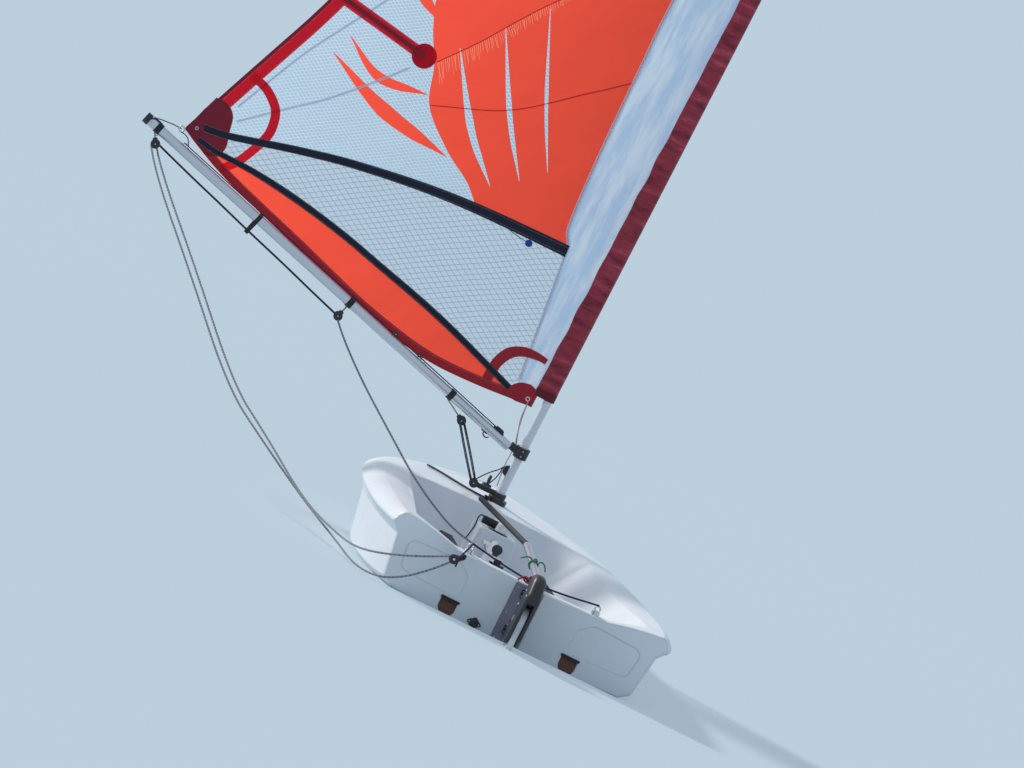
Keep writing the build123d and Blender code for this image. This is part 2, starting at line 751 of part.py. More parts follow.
vang_upper_block = block(vang_upper_centre, strap_foot(vang_strap_reach), sheave_axis)
vang_lower_block = block(vang_lower_centre, rig_point(60, vang_foot_height), sheave_axis)
end_block = block(end_block_centre, strap_foot(end_strap_reach), sheave_axis)
mid_block = block(mid_block_centre, strap_foot(mid_block_reach), sheave_axis)

pieces = {
    "hull": hull,
    "transom_plate": transom_plate,
    "gudgeon_lower": gudgeon_lower,
    "gudgeon_upper": gudgeon_upper,
    "drain_bung": drain_bung,
    "scupper_lip_port": scupper_lip(-1),
    "scupper_lip_starboard": scupper_lip(1),
    "bridle_eye_port": bridle_eye(-1),
    "bridle_eye_starboard": bridle_eye(1),
    "hiking_strap_port": hiking_strap(-1),
    "hiking_strap_starboard": hiking_strap(1),
    "sheet_post": sheet_post,
    "sheet_arm": sheet_arm,
    "sheet_block": sheet_block,
    "mast_collar": mast_collar,
    "board_frame": board_frame,
    "bow_eye": bow_eye,
    "rudder_head": rudder_head,
    "pintle_pin": pintle_pin,
    "blade_pivot": blade_pivot,
    "tiller": tiller,
    "tiller_joint": tiller_joint,
    "tiller_extension": tiller_extension,
    "rudder_blade": rudder_blade,
    "daggerboard": daggerboard,
    "daggerboard_head": daggerboard_head,
    "board_grip": board_grip,
    "mast_lower": mast_lower,
    "mast_upper": mast_upper,
    "mast_cap": mast_cap,
    "mast_cleat": mast_cleat,
    "gooseneck": gooseneck,
    "boom": boom,
    "boom_cap": boom_cap,
    "luff_sleeve": luff_sleeve,
    "sail": sail,
    "clew_ring": clew_ring,
    "vang_collar": vang_collar,
    "vang_strap": vang_strap,
    "vang_upper_block": vang_upper_block,
    "vang_lower_block": vang_lower_block,
    "end_strap": end_strap,
    "end_block": end_block,
    "mid_strap": mid_strap,
    "mid_block": mid_block,
}
for name, piece in pieces.items():
    piece.part.label = name
    export_step(piece.part, f"parts/{name}.step")
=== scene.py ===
import random
from math import atan2, cos, pi, radians, sin, sqrt

import bmesh
import bpy
import numpy as np
from mathutils import Matrix, Vector
from mathutils.bvhtree import BVHTree
from mathutils.geometry import delaunay_2d_cdt


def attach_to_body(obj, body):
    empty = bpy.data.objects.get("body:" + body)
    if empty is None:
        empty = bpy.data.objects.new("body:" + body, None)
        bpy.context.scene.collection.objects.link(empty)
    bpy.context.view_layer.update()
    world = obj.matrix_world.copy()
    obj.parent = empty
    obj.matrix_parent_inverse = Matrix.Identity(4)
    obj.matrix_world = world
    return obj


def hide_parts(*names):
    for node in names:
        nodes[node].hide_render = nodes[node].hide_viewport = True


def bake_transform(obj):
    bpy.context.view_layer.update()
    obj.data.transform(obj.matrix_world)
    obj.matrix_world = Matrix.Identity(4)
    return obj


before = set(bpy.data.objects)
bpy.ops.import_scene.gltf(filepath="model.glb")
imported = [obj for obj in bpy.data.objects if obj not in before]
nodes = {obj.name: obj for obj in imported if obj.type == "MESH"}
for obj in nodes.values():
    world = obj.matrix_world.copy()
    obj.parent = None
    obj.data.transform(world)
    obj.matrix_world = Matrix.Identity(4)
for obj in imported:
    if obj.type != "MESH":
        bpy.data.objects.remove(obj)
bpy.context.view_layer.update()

scene = bpy.context.scene

# Camera: where the photo was taken from, tilted as the photo is
EYE = (-1.578, -13.442, 0.984)
EYE_RIGHT = (0.89064, -0.08229, 0.44719)
EYE_UP = (-0.44344, 0.06028, 0.89427)
EYE_BACK = (-0.10055, -0.99478, 0.01720)
LENS, SENSOR_WIDTH, SIGHT = 129.9, 36, 200


def set_camera():
    data = bpy.data.cameras.new("camera")
    data.lens, data.sensor_width, data.clip_end = LENS, SENSOR_WIDTH, SIGHT
    camera = bpy.data.objects.new("camera", data)
    scene.collection.objects.link(camera)
    turn = Matrix((EYE_RIGHT, EYE_UP, EYE_BACK)).transposed().to_4x4()
    camera.matrix_world = Matrix.Translation(EYE) @ turn
    scene.camera = camera


set_camera()

# The rig's own directions and places, in metres
RAKE = radians(6.6)
SWING = radians(88.5)
MAST = Vector((0, -sin(RAKE), cos(RAKE)))
LEEWARD = Vector((-cos(SWING), sin(SWING), 0))
AFT = MAST.cross(LEEWARD).normalized()
WINDWARD = MAST.cross(AFT)
DECK = Vector((0, 0.690, 0.320))
BOOM_RISE = radians(16.1)
BOOM_LINE = AFT * cos(BOOM_RISE) + MAST * sin(BOOM_RISE)
BOOM_RADIUS, BOOM_REACH, BOOM_HEIGHT = 0.019, 0.056, 0.200


def rig_at(aft, height, windward=0.0):
    """A point of the rig: aft beside the boom, up the mast and out to windward."""
    return DECK + AFT * aft + MAST * height + WINDWARD * windward


def boom_at(reach, below=0.0, out=0.0):
    """A point along the boom, square below it and out to windward."""
    aft = BOOM_REACH + reach * cos(BOOM_RISE) + below * sin(BOOM_RISE)
    height = BOOM_HEIGHT + reach * sin(BOOM_RISE) - below * cos(BOOM_RISE)
    return rig_at(aft, height, out)


# Material tools
def feed(tree, socket, value):
    """Links a socket into an input, or sets the input to a value."""
    if isinstance(value, bpy.types.NodeSocket):
        tree.links.new(value, socket)
    elif isinstance(value, tuple) and len(value) == 3 and len(getattr(socket, "default_value", ())) == 4:
        socket.default_value = (*value, 1)
    else:
        socket.default_value = value


def new_material(name, color, roughness, **sockets):
    """A Principled material with its tree and its shader."""
    material = bpy.data.materials.new(name)
    material.use_nodes = True
    tree = material.node_tree
    shader = tree.nodes["Principled BSDF"]
    shader.inputs["Base Color"].default_value = (*color, 1)
    shader.inputs["Roughness"].default_value = roughness
    for socket, value in sockets.items():
        shader.inputs[socket.replace("_", " ")].default_value = value
    return material, tree, shader


def add_node(tree, kind, **values):
    """A node with its inputs and settings filled in."""
    node = tree.nodes.new(kind)
    for key, value in values.items():
        if hasattr(node, key) and key not in node.inputs:
            setattr(node, key, value)
        else:
            feed(tree, node.inputs[key.replace("_", " ")], value)
    return node


def noise(tree, place, **values):
    return add_node(tree, "ShaderNodeTexNoise", Vector=place, **values).outputs[0]


def stretched(tree, place, scale, turn=(0, 0, 0)):
    """Places for a texture that runs longer one way than another."""
    return add_node(tree, "ShaderNodeMapping", Vector=place, Scale=scale, Rotation=turn).outputs[0]


def own_place(tree):
    return tree.nodes.new("ShaderNodeTexCoord").outputs["Object"]


def flat_place(tree):
    """The piece's own UV map, which is in metres on the flat cloth."""
    return tree.nodes.new("ShaderNodeUVMap").outputs[0]


def new_group(name, inputs, outputs):
    """An empty node group: its tree, its given values by name and its output node."""
    tree = bpy.data.node_groups.new(name, "ShaderNodeTree")
    for label, value in inputs.items():
        tree.interface.new_socket(label, in_out="INPUT", socket_type="NodeSocketFloat").default_value = value
    for label in outputs:
        tree.interface.new_socket(label, in_out="OUTPUT", socket_type="NodeSocketFloat")
    return tree, tree.nodes.new("NodeGroupInput").outputs, tree.nodes.new("NodeGroupOutput")


def use_group(tree, group, **values):
    """The group placed in a material with its own values: its outputs."""
    node = tree.nodes.new("ShaderNodeGroup")
    node.node_tree = group
    for key, value in values.items():
        feed(tree, node.inputs[key], value)
    return node.outputs


def mix_colors(tree, factor, a, b):
    node = tree.nodes.new("ShaderNodeMix")
    node.data_type = "RGBA"
    for place, value in ((0, factor), (6, a), (7, b)):
        feed(tree, node.inputs[place], value)
    return node.outputs[2]


def compute(tree, operation, *terms):
    """One sum on values or sockets."""
    node = tree.nodes.new("ShaderNodeMath")
    node.operation = operation
    for socket, value in zip(node.inputs, (*terms, 0.0, 0.0)):
        feed(tree, socket, value)
    return node.outputs[0]


def ramp(tree, value, *stops):
    """A grey ramp through (place, grey) stops."""
    node = tree.nodes.new("ShaderNodeValToRGB")
    points = node.color_ramp.elements
    while len(points) < len(stops):
        points.new(0.5)
    for point, (place, grey) in zip(points, stops):
        point.position = place
        point.color = (grey, grey, grey, 1)
    tree.links.new(value, node.inputs[0])
    return node.outputs[0]


def mix_shaders(tree, factor, a, b):
    mix = add_node(tree, "ShaderNodeMixShader", Fac=factor)
    tree.links.new(a, mix.inputs[1])
    tree.links.new(b, mix.inputs[2])
    return mix.outputs[0]


def shade(color, factor, lift=0.0):
    """The colour made darker or lighter."""
    return tuple(min(1, c * factor + lift) for c in color)


# Stage and light: a pale floor that runs into a backdrop of the same tone
BACKDROP = (0.50, 0.62, 0.72)
FLOOR_PAINT = (0.581, 0.662, 0.712)
FLOOR_RADIUS, FLOOR_SIDES = 40, 64
SKY_LIGHT, SKY_STRENGTH = (0.66, 0.82, 1.0), 0.55
SUN_FROM, SUN_STRENGTH, SUN_ANGLE, SUN_COLOR = (-0.70, 0.40, 0.60), 2.65, 9, (1.0, 0.97, 0.93)
LIT_SHARE = 0.45


def direct_sight(tree):
    """One where the camera, a gloss or glass looks at the surface."""
    path = tree.nodes.new("ShaderNodeLightPath").outputs
    seen = compute(tree, "MAXIMUM", path["Is Camera Ray"], path["Is Glossy Ray"])
    return compute(tree, "MAXIMUM", seen, path["Is Transmission Ray"])


def set_stage():
    mesh = bpy.data.meshes.new("floor")
    turns = [2 * pi * k / FLOOR_SIDES for k in range(FLOOR_SIDES)]
    rim = [(FLOOR_RADIUS * cos(t), FLOOR_RADIUS * sin(t), 0) for t in turns]
    mesh.from_pydata(rim, [], [list(range(FLOOR_SIDES))])
    floor = bpy.data.objects.new("floor", mesh)
    scene.collection.objects.link(floor)
    paint, tree, shader = new_material("floor_paint", FLOOR_PAINT, 0.9, Specular_IOR_Level=0.0)
    lit = shader.outputs[0]
    plain = add_node(tree, "ShaderNodeEmission", Color=BACKDROP, Strength=1.0).outputs[0]
    seen = mix_shaders(tree, LIT_SHARE, plain, lit)
    tree.links.new(mix_shaders(tree, direct_sight(tree), lit, seen), tree.nodes["Material Output"].inputs[0])
    mesh.materials.append(paint)

    world = bpy.data.worlds.new("sky")
    scene.world = world
    world.use_nodes = True
    tree = world.node_tree
    light = tree.nodes["Background"]
    feed(tree, light.inputs[0], SKY_LIGHT)
    feed(tree, light.inputs[1], SKY_STRENGTH)
    seen = add_node(tree, "ShaderNodeBackground", Color=BACKDROP, Strength=1.0).outputs[0]
    mixed = mix_shaders(tree, direct_sight(tree), light.outputs[0], seen)
    tree.links.new(mixed, tree.nodes["World Output"].inputs[0])

    data = bpy.data.lights.new("sun", "SUN")
    data.energy, data.angle, data.color = SUN_STRENGTH, radians(SUN_ANGLE), SUN_COLOR
    lamp = bpy.data.objects.new("sun", data)
    lamp.rotation_euler = Vector(SUN_FROM).to_track_quat("Z", "Y").to_euler()
    scene.collection.objects.link(lamp)
    scene.view_settings.view_transform = "Standard"


set_stage()


# Shared effects
def make_grain():
    """Fine moulded grain with broad, faint waves: a height."""
    tree, given, out = new_group("moulded_grain", {"Scale": 900.0, "Waves": 9.0}, ["Height"])
    place = own_place(tree)
    fine = noise(tree, place, Scale=given["Scale"], Detail=2.0)
    broad = noise(tree, place, Scale=given["Waves"], Detail=1.0)
    tree.links.new(compute(tree, "MULTIPLY_ADD", fine, 0.25, broad), out.inputs["Height"])
    return tree


def make_scuffs():
    """Sparse short scratches and rubbed patches: a mask."""
    tree, given, out = new_group("scuffs", {"Scale": 14.0, "Amount": 0.3}, ["Mask"])
    place = own_place(tree)
    patch = noise(tree, place, Scale=given["Scale"], Detail=6.0, Roughness=0.7)
    line = noise(tree, stretched(tree, place, (30, 420, 60), (0.3, 0.2, 0.9)), Scale=1.0, Detail=3.0)
    lines = ramp(tree, line, (0.66, 0.0), (0.74, 1.0))
    worn = ramp(tree, patch, (0.50, 0.0), (0.72, 1.0))
    both = compute(tree, "MULTIPLY_ADD", worn, 0.35, compute(tree, "MULTIPLY", lines, worn))
    tree.links.new(compute(tree, "MULTIPLY", both, given["Amount"]), out.inputs["Mask"])
    return tree


def make_weave():
    """Crossing threads on the piece's own UV map: a height and a thread mask."""
    tree, given, out = new_group("thread_weave", {"Threads": 900.0, "Cross": 900.0}, ["Height", "Mask"])
    split = add_node(tree, "ShaderNodeSeparateXYZ", Vector=flat_place(tree)).outputs
    across, along = (
        compute(tree, "SINE", compute(tree, "MULTIPLY", split[k], given[label]))
        for k, label in enumerate(("Threads", "Cross"))
    )
    height = compute(tree, "MULTIPLY", across, along)
    tree.links.new(height, out.inputs["Height"])
    tree.links.new(compute(tree, "MULTIPLY_ADD", height, 0.5, 0.5), out.inputs["Mask"])
    return tree


def make_stains():
    """Slow changes of tone over a surface: a mask from 0 to 1."""
    tree, given, out = new_group("tone_change", {"Scale": 3.0, "Low": 0.35, "High": 0.75}, ["Mask"])
    tone = noise(tree, own_place(tree), Scale=given["Scale"], Detail=5.0, Roughness=0.6)
    spread = add_node(tree, "ShaderNodeMapRange", Value=tone, From_Min=given["Low"], From_Max=given["High"])
    tree.links.new(spread.outputs[0], out.inputs["Mask"])
    return tree


GRAIN, SCUFFS, WEAVE, STAINS = make_grain(), make_scuffs(), make_weave(), make_stains()


# Materials
def set_normal(tree, shader, rounding, **bump):
    """The surface's fine height, over edges that look rounded where a radius is given."""
    height = add_node(tree, "ShaderNodeBump", **bump)
    if rounding:
        soft = add_node(tree, "ShaderNodeBevel", samples=4, Radius=rounding)
        tree.links.new(soft.outputs[0], height.inputs["Normal"])
    tree.links.new(height.outputs[0], shader.inputs["Normal"])


def plastic(name, color, roughness, wear=0.3, grain=900.0, rounding=0.0, bump=0.0004, worn=None, scale=14.0):
    """Moulded plastic: grain, faint tone changes and scuffs."""
    material, tree, shader = new_material(name, color, roughness, IOR=1.48)
    grained = use_group(tree, GRAIN, Scale=grain)["Height"]
    rubbed = use_group(tree, SCUFFS, Amount=wear, Scale=scale)["Mask"]
    body = mix_colors(tree, use_group(tree, STAINS)["Mask"], color, shade(color, 0.90))
    shown = mix_colors(tree, rubbed, body, worn or shade(color, 0.8, 0.10))
    tree.links.new(shown, shader.inputs["Base Color"])
    tree.links.new(compute(tree, "MULTIPLY_ADD", rubbed, 0.25, roughness), shader.inputs["Roughness"])
    set_normal(tree, shader, rounding, Strength=0.6, Distance=bump, Height=grained)
    return material


def metal(name, color, roughness, streak, rounding=0.0):
    """Drawn or brushed metal with fine streaks along its length."""
    material, tree, shader = new_material(name, color, roughness, Metallic=1.0)
    drawn = noise(tree, stretched(tree, own_place(tree), streak), Scale=1.0, Detail=4.0)
    rubbed = use_group(tree, SCUFFS, Amount=0.5, Scale=20.0)["Mask"]
    shown = mix_colors(tree, drawn, shade(color, 0.86), shade(color, 1.1))
    tree.links.new(shown, shader.inputs["Base Color"])
    rough = compute(tree, "MULTIPLY_ADD", drawn, 0.16, roughness - 0.06)
    tree.links.new(compute(tree, "MULTIPLY_ADD", rubbed, 0.3, rough), shader.inputs["Roughness"])
    set_normal(tree, shader, rounding, Strength=0.3, Distance=0.0002, Height=drawn)
    return material


def woven(name, color, light, threads, roughness=0.8, sheen=0.15, puckers=0.0):
    """Woven cloth or webbing: threads with a painted highlight on their crowns, and creases where puckers gives their
    depth, with painted shade in their hollows and painted highlights on their ridges.
    """
    material, tree, shader = new_material(name, color, roughness, Sheen_Weight=sheen, Specular_IOR_Level=0.3)
    weave = use_group(tree, WEAVE, Threads=threads[0], Cross=threads[1])
    tone = compute(tree, "MULTIPLY", use_group(tree, STAINS, Scale=12.0)["Mask"], 0.35)
    # The second colour sits where the weave is highest: a painted highlight on the thread crowns.
    shown = mix_colors(tree, tone, mix_colors(tree, weave["Mask"], color, light), shade(color, 0.7))
    height = add_node(tree, "ShaderNodeBump", Strength=0.7, Distance=0.0003, Height=weave["Height"])
    if puckers:
        short_way = stretched(tree, flat_place(tree), (11.0, 34.0, 1.0), (0, 0, 0.35))
        crease = noise(tree, short_way, Scale=1.0, Detail=4.0, Roughness=0.6)
        pulled = add_node(tree, "ShaderNodeBump", Strength=1.0, Distance=puckers, Height=crease)
        tree.links.new(pulled.outputs[0], height.inputs["Normal"])
        # Painted shade in the crease hollows and a painted highlight on the crease ridges.
        shown = mix_colors(tree, ramp(tree, crease, (0.35, 1.0), (0.50, 0.0)), shown, shade(color, 0.55))
        shown = mix_colors(tree, ramp(tree, crease, (0.55, 0.0), (0.72, 1.0)), shown, shade(color, 1.7, 0.06))
    tree.links.new(shown, shader.inputs["Base Color"])
    tree.links.new(height.outputs[0], shader.inputs["Normal"])
    return material


HULL_WHITE = plastic(
    "hull_white", (0.80, 0.83, 0.86), 0.34, wear=0.16, grain=700.0, rounding=0.007, worn=(0.62, 0.66, 0.70)
)
FOIL_WHITE = plastic("foil_white", (0.80, 0.82, 0.84), 0.30, wear=0.25, rounding=0.002, worn=(0.55, 0.58, 0.60))
BLACK_PLASTIC = plastic("black_plastic", (0.022, 0.023, 0.026), 0.42, wear=0.5, rounding=0.0012, scale=60.0)
GREY_PLASTIC = plastic("recess_grey", (0.27, 0.25, 0.32), 0.6, wear=0.5, rounding=0.002, scale=30.0)
RUBBER = plastic("soft_rubber", (0.018, 0.018, 0.02), 0.75, wear=0.25, grain=2500.0, rounding=0.001, scale=60.0)
STEEL = metal("brushed_steel", (0.62, 0.62, 0.63), 0.28, (500, 500, 500), rounding=0.0006)
MAST_PAINT = plastic("mast_white", (0.76, 0.79, 0.84), 0.22, scale=24.0)
SPAR_ALLOY = metal("spar_alloy", (0.56, 0.57, 0.60), 0.30, (300, 300, 3))
BOOM_ALLOY = metal("boom_alloy", (0.60, 0.63, 0.68), 0.34, (3, 300, 300))
GRIP_RUBBER = plastic("grip_rubber", (0.02, 0.021, 0.024), 0.7, grain=1800.0, bump=0.0008)
WEBBING = woven("black_webbing", (0.012, 0.012, 0.014), (0.05, 0.05, 0.055), (2600.0, 3200.0))
# Sleeve cloth with puckers: its creases carry painted shade and painted highlights.
SLEEVE_CLOTH = woven(
    "sleeve_cloth", (0.34, 0.022, 0.046), (0.46, 0.044, 0.078), (5200.0, 5200.0), roughness=0.5, puckers=0.012
)

NODE_FINISHES = (
    (HULL_WHITE, "hull"),
    (GREY_PLASTIC, "transom_plate"),
    (BLACK_PLASTIC, "gudgeon_lower gudgeon_upper drain_bung sheet_post sheet_block mast_collar board_frame bow_eye"),
    (BLACK_PLASTIC, "mast_cap gooseneck boom_cap vang_collar vang_upper_block vang_lower_block end_block mid_block"),
    (RUBBER, "scupper_lip_port scupper_lip_starboard tiller_joint board_grip"),
    (STEEL, "bridle_eye_port bridle_eye_starboard sheet_arm pintle_pin blade_pivot clew_ring"),
    (SPAR_ALLOY, "tiller mast_upper"),
    (GRIP_RUBBER, "tiller_extension"),
    (FOIL_WHITE, "rudder_blade daggerboard daggerboard_head"),
    (MAST_PAINT, "mast_lower"),
    (BOOM_ALLOY, "boom"),
)
for finish, names in NODE_FINISHES:
    for name in names.split():
        for slot in nodes[name].material_slots:
            slot.link, slot.material = "OBJECT", finish
        if not nodes[name].material_slots:
            nodes[name].data.materials.append(finish)


# The sail's surface: cambered strips joined by one smooth curve from foot to head
SAIL_STRIPS = (
    # height on the luff, rise and twist in degrees, luff gap, chord, camber
    (0.170, 15.1, 0, 0.064, 1.790, 0.150),
    (1.150, 9.9, 3, 0.059, 1.460, 0.150),
    (2.050, 6, 6, 0.053, 1.225, 0.120),
    (3.000, 2, 9, 0.046, 0.870, 0.066),
    (4.020, 0, 11, 0.039, 0.230, 0.008),
)
SAIL_FOOT, SAIL_HEAD = 0.10, 4.020
SAIL_LEVELS, SAIL_COLUMNS = 150, 91


def strip_arc(row, shares):
    """Points along one cambered strip, as rows of aft, windward and height."""
    height, rise, twist, gap, chord, camber = row
    middle = gap + 0.45 * (chord - gap)
    sides = np.array([[2 * (middle - gap), 2 * camber], [2 * (chord - middle), -2 * camber]])
    sums = np.array([middle**2 + camber**2 - gap**2, chord**2 - middle**2 - camber**2])
    centre = np.linalg.solve(sides, sums)
    radius = sqrt((gap - centre[0]) ** 2 + centre[1] ** 2)
    first, last = atan2(-centre[1], gap - centre[0]), atan2(-centre[1], chord - centre[0])
    turns = first + (last - first) * shares
    along, deep = centre[0] + radius * np.cos(turns), centre[1] + radius * np.sin(turns)
    turn, lift = radians(twist), radians(rise)
    run = np.array([cos(turn) * cos(lift), -sin(turn) * cos(lift), sin(lift)])
    side = np.array([-sin(turn), -cos(turn), 0.0])
    return np.array([0, 0, height]) + np.outer(along, run) + np.outer(deep, side)


def sail_grid():
    """The sail's surface as a grid of aft, windward and height."""
    rows = np.array([strip_arc(row, np.linspace(-0.03, 1.06, SAIL_COLUMNS)) for row in SAIL_STRIPS])
    places = [row[0] for row in SAIL_STRIPS]
    grid = []
    for level in np.linspace(SAIL_FOOT, SAIL_HEAD, SAIL_LEVELS):
        weights = [
            np.prod([(level - b) / (a - b) for k, b in enumerate(places) if k != i]) for i, a in enumerate(places)
        ]
        grid.append(np.tensordot(np.array(weights), rows, axes=(0, 0)))
    return np.array(grid)


def grid_faces(levels, columns):
    return [
        (r * columns + c, r * columns + c + 1, (r + 1) * columns + c + 1, (r + 1) * columns + c)
        for r in range(levels - 1)
        for c in range(columns - 1)
    ]


GRID = sail_grid()
GRID_TREE = BVHTree.FromPolygons([tuple(p) for p in GRID.reshape(-1, 3)], grid_faces(SAIL_LEVELS, SAIL_COLUMNS))


def sail_at(aft, height, out=0.0):
    """A point on the sail, or that far out to windward from it."""
    place, normal, _, _ = GRID_TREE.ray_cast(Vector((aft, 1.0, height)), Vector((0, -1, 0)))
    if place is None:
        place, normal, _, _ = GRID_TREE.find_nearest(Vector((aft, -0.1, height)))
    if normal.y < 0:
        normal = -normal
    return rig_at(aft + normal.x * out, height + normal.z * out, place.y + normal.y * out)


# Cloth tools
def smooth_line(points, step=0.012):
    """An even line through the points, rounded between them."""
    p = [np.array(q, float) for q in points]
    line = []
    for k in range(len(p) - 1):
        b, c = p[k], p[k + 1]
        a = p[k - 1] if k else 2 * b - c
        d = p[k + 2] if k + 2 < len(p) else 2 * c - b
        count = max(1, int(np.linalg.norm(c - b) / step))
        for t in np.arange(count) / count:
            square, cube = 2 * a - 5 * b + 4 * c - d, 3 * b - a - 3 * c + d
            line.append(0.5 * (2 * b + (c - a) * t + square * t * t + cube * t**3))
    return np.array([*line, p[-1]])


def directions(line):
    """The way that a line runs at each of its points."""
    along = np.gradient(line, axis=0)
    return along / np.linalg.norm(along, axis=1)[:, None]


def left_of(along):
    return np.stack([-along[:, 1], along[:, 0]], axis=1)


def ribbon(points, widths, step=0.012):
    """The outline of a tape along a line; widths run from its first end to its last."""
    line = smooth_line(points, step)
    half = np.interp(np.linspace(0, 1, len(line)), np.linspace(0, 1, len(widths)), widths) / 2
    across = left_of(directions(line)) * half[:, None]
    return np.concatenate([line + across, (line - across)[::-1]])


def disc(centre, radius, count=30):
    turns = np.linspace(0, 2 * pi, count, endpoint=False)
    return np.array(centre) + radius * np.stack([np.cos(turns), np.sin(turns)], axis=1)


def inside(points, outline):
    """True for each point that lies in the outline."""
    x, y = points[:, 0], points[:, 1]
    hit = np.zeros(len(points), bool)
    for (x1, y1), (x2, y2) in zip(outline, np.roll(outline, -1, axis=0)):
        if y1 != y2:
            hit ^= ((y1 > y) != (y2 > y)) & (x < (x2 - x1) * (y - y1) / (y2 - y1) + x1)
    return hit


def fill_outline(outline, lines=(), step=0.026):
    """Triangles that fill an outline on the flat and keep the given lines: points, faces.

    The points inside stand on an even triangular grid, clear of the outline and the lines.
    """
    outline = np.array(outline)
    low, high = outline.min(axis=0), outline.max(axis=0)
    rows = np.arange(low[1], high[1], step * 0.866)
    seeds = np.array(
        [(x + (k % 2) * step / 2, y) for k, y in enumerate(rows) for x in np.arange(low[0], high[0], step)]
    ).reshape(-1, 2)
    edge_points = np.concatenate([outline, *[np.array(line) for line in lines]])
    if len(seeds):
        seeds = seeds[inside(seeds, outline)]
    if len(seeds):
        gaps = np.array([np.min(np.sum((edge_points - s) ** 2, axis=1)) for s in seeds])
        seeds = seeds[gaps > (0.45 * step) ** 2]
    points = [Vector(p) for p in outline]
    edges = []
    for line in lines:
        start = len(points)
        points += [Vector(p) for p in line]
        edges += [(start + k, start + k + 1) for k in range(len(line) - 1)]
    points += [Vector(p) for p in seeds]
    found = delaunay_2d_cdt(points, edges, [list(range(len(outline)))], 1, 1e-6)
    faces = []
    for face in found[2]:
        a, b, c = (found[0][k] for k in face[:3])
        faces.append(tuple(reversed(face)) if (b - a).cross(c - a) > 0 else tuple(face))
    return np.array([tuple(p) for p in found[0]]), faces


SHARP = radians(38)


def new_piece(name, vertices, faces, materials, uv=None, face_materials=None):
    """A mesh piece in place, with its materials and its flat coordinates as UV."""
    mesh = bpy.data.meshes.new(name)
    mesh.from_pydata([tuple(v) for v in vertices], [], [tuple(f) for f in faces])
    for material in materials:
        mesh.materials.append(material)
    if face_materials is not None:
        mesh.polygons.foreach_set("material_index", np.array(face_materials, np.int32))
    if uv is not None:
        layer = mesh.uv_layers.new(name="flat")
        corners = np.zeros(len(mesh.loops), np.int32)
        mesh.loops.foreach_get("vertex_index", corners)
        layer.data.foreach_set("uv", np.array(uv, float)[corners].ravel())
    mesh.polygons.foreach_set("use_smooth", np.full(len(mesh.polygons), True))
    mesh.validate()
    mesh.update()
    mesh.set_sharp_from_angle(angle=SHARP)
    piece = bpy.data.objects.new(name, mesh)
    scene.collection.objects.link(piece)
    return piece


def attach(piece, body, node=None):
    """Says which body a piece rides on, and the node that it replaces."""
    if node:
        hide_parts(node)
    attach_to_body(piece, body)
    return piece


def sewn_piece(name, outlines, materials, proud):
    """Cloth sewn on both faces of the sail: thin closed shapes round it, one for each outline."""
    vertices, faces, uv = [], [], []
    for number, outline in enumerate(outlines):
        points, flat_faces = fill_outline(outline, step=0.03)
        count, start = len(points), len(vertices)
        out = proud * (1 + 0.04 * (number % 7))
        vertices += [sail_at(a, h, out) for a, h in points] + [sail_at(a, h, -out) for a, h in points]
        uv += [tuple(p) for p in points] * 2
        sides = dict.fromkeys((face[k], face[(k + 1) % 3]) for face in flat_faces for k in range(3))
        rim = [(a, b) for a, b in sides if (b, a) not in sides]
        faces += [tuple(start + k for k in face) for face in flat_faces]
        faces += [tuple(start + count + k for k in reversed(face)) for face in flat_faces]
        faces += [(start + b, start + a, start + count + a, start + count + b) for a, b in rim]
    return new_piece(name, vertices, faces, materials, uv)


# Sail materials
def film(
    name, color, thread_color, alpha=1.0, threads=2400.0, width=0.7,
    slant=1.0, through=0.5, roughness=0.35, tone=0.2, streak=None,
):
    """Laminated film: clear or coloured plies over crossed threads, which let part of the light through; where streak
    is given, paler streaks paint a sheen on it.
    """
    material, tree, shader = new_material(name, color, roughness, Specular_IOR_Level=0.4)
    flat = flat_place(tree)
    split = add_node(tree, "ShaderNodeSeparateXYZ", Vector=flat).outputs
    bend = compute(tree, "MULTIPLY", noise(tree, flat, Scale=3.0, Detail=2.0), 0.02)
    lines = []
    for sign in (1, -1):
        slanted = compute(tree, "MULTIPLY_ADD", split[0], sign * slant, split[1])
        wave = compute(tree, "SINE", compute(tree, "MULTIPLY", compute(tree, "ADD", slanted, bend), threads))
        lines.append(compute(tree, "GREATER_THAN", wave, width))
    thread = compute(tree, "MAXIMUM", *lines)
    stain = compute(tree, "MULTIPLY", use_group(tree, STAINS, Scale=2.2)["Mask"], tone)
    ply = mix_colors(tree, stain, color, shade(color, 0.82))
    # Paler lengthwise streaks where streak is given: a painted sheen on the film.
    if streak:
        long_way = stretched(tree, flat, (24.0, 3.2, 1.0))
        painted_sheen = noise(tree, long_way, Scale=1.0, Detail=4.0, Roughness=0.62)
        ply = mix_colors(tree, ramp(tree, painted_sheen, (0.42, 0.0), (0.62, 1.0)), ply, streak)
    shown = mix_colors(tree, thread, ply, thread_color)
    tree.links.new(shown, shader.inputs["Base Color"])
    crease = noise(tree, flat, Scale=5.0, Detail=3.0, Roughness=0.4)
    height = compute(tree, "MULTIPLY_ADD", noise(tree, flat, Scale=60.0, Detail=2.0), 0.04, crease)
    height = compute(tree, "MULTIPLY_ADD", thread, 0.01, height)
    bump = add_node(tree, "ShaderNodeBump", Strength=0.5, Distance=0.02, Height=height).outputs[0]
    tree.links.new(bump, shader.inputs["Normal"])
    if alpha < 1:
        cover = compute(tree, "MAXIMUM", alpha, compute(tree, "MULTIPLY", thread, 0.85))
        tree.links.new(cover, shader.inputs["Alpha"])
    glow = add_node(tree, "ShaderNodeBsdfTranslucent", Color=shown, Normal=bump).outputs[0]
    mixed = mix_shaders(tree, through * alpha, shader.outputs[0], glow)
    tree.links.new(mixed, tree.nodes["Material Output"].inputs[0])
    return material


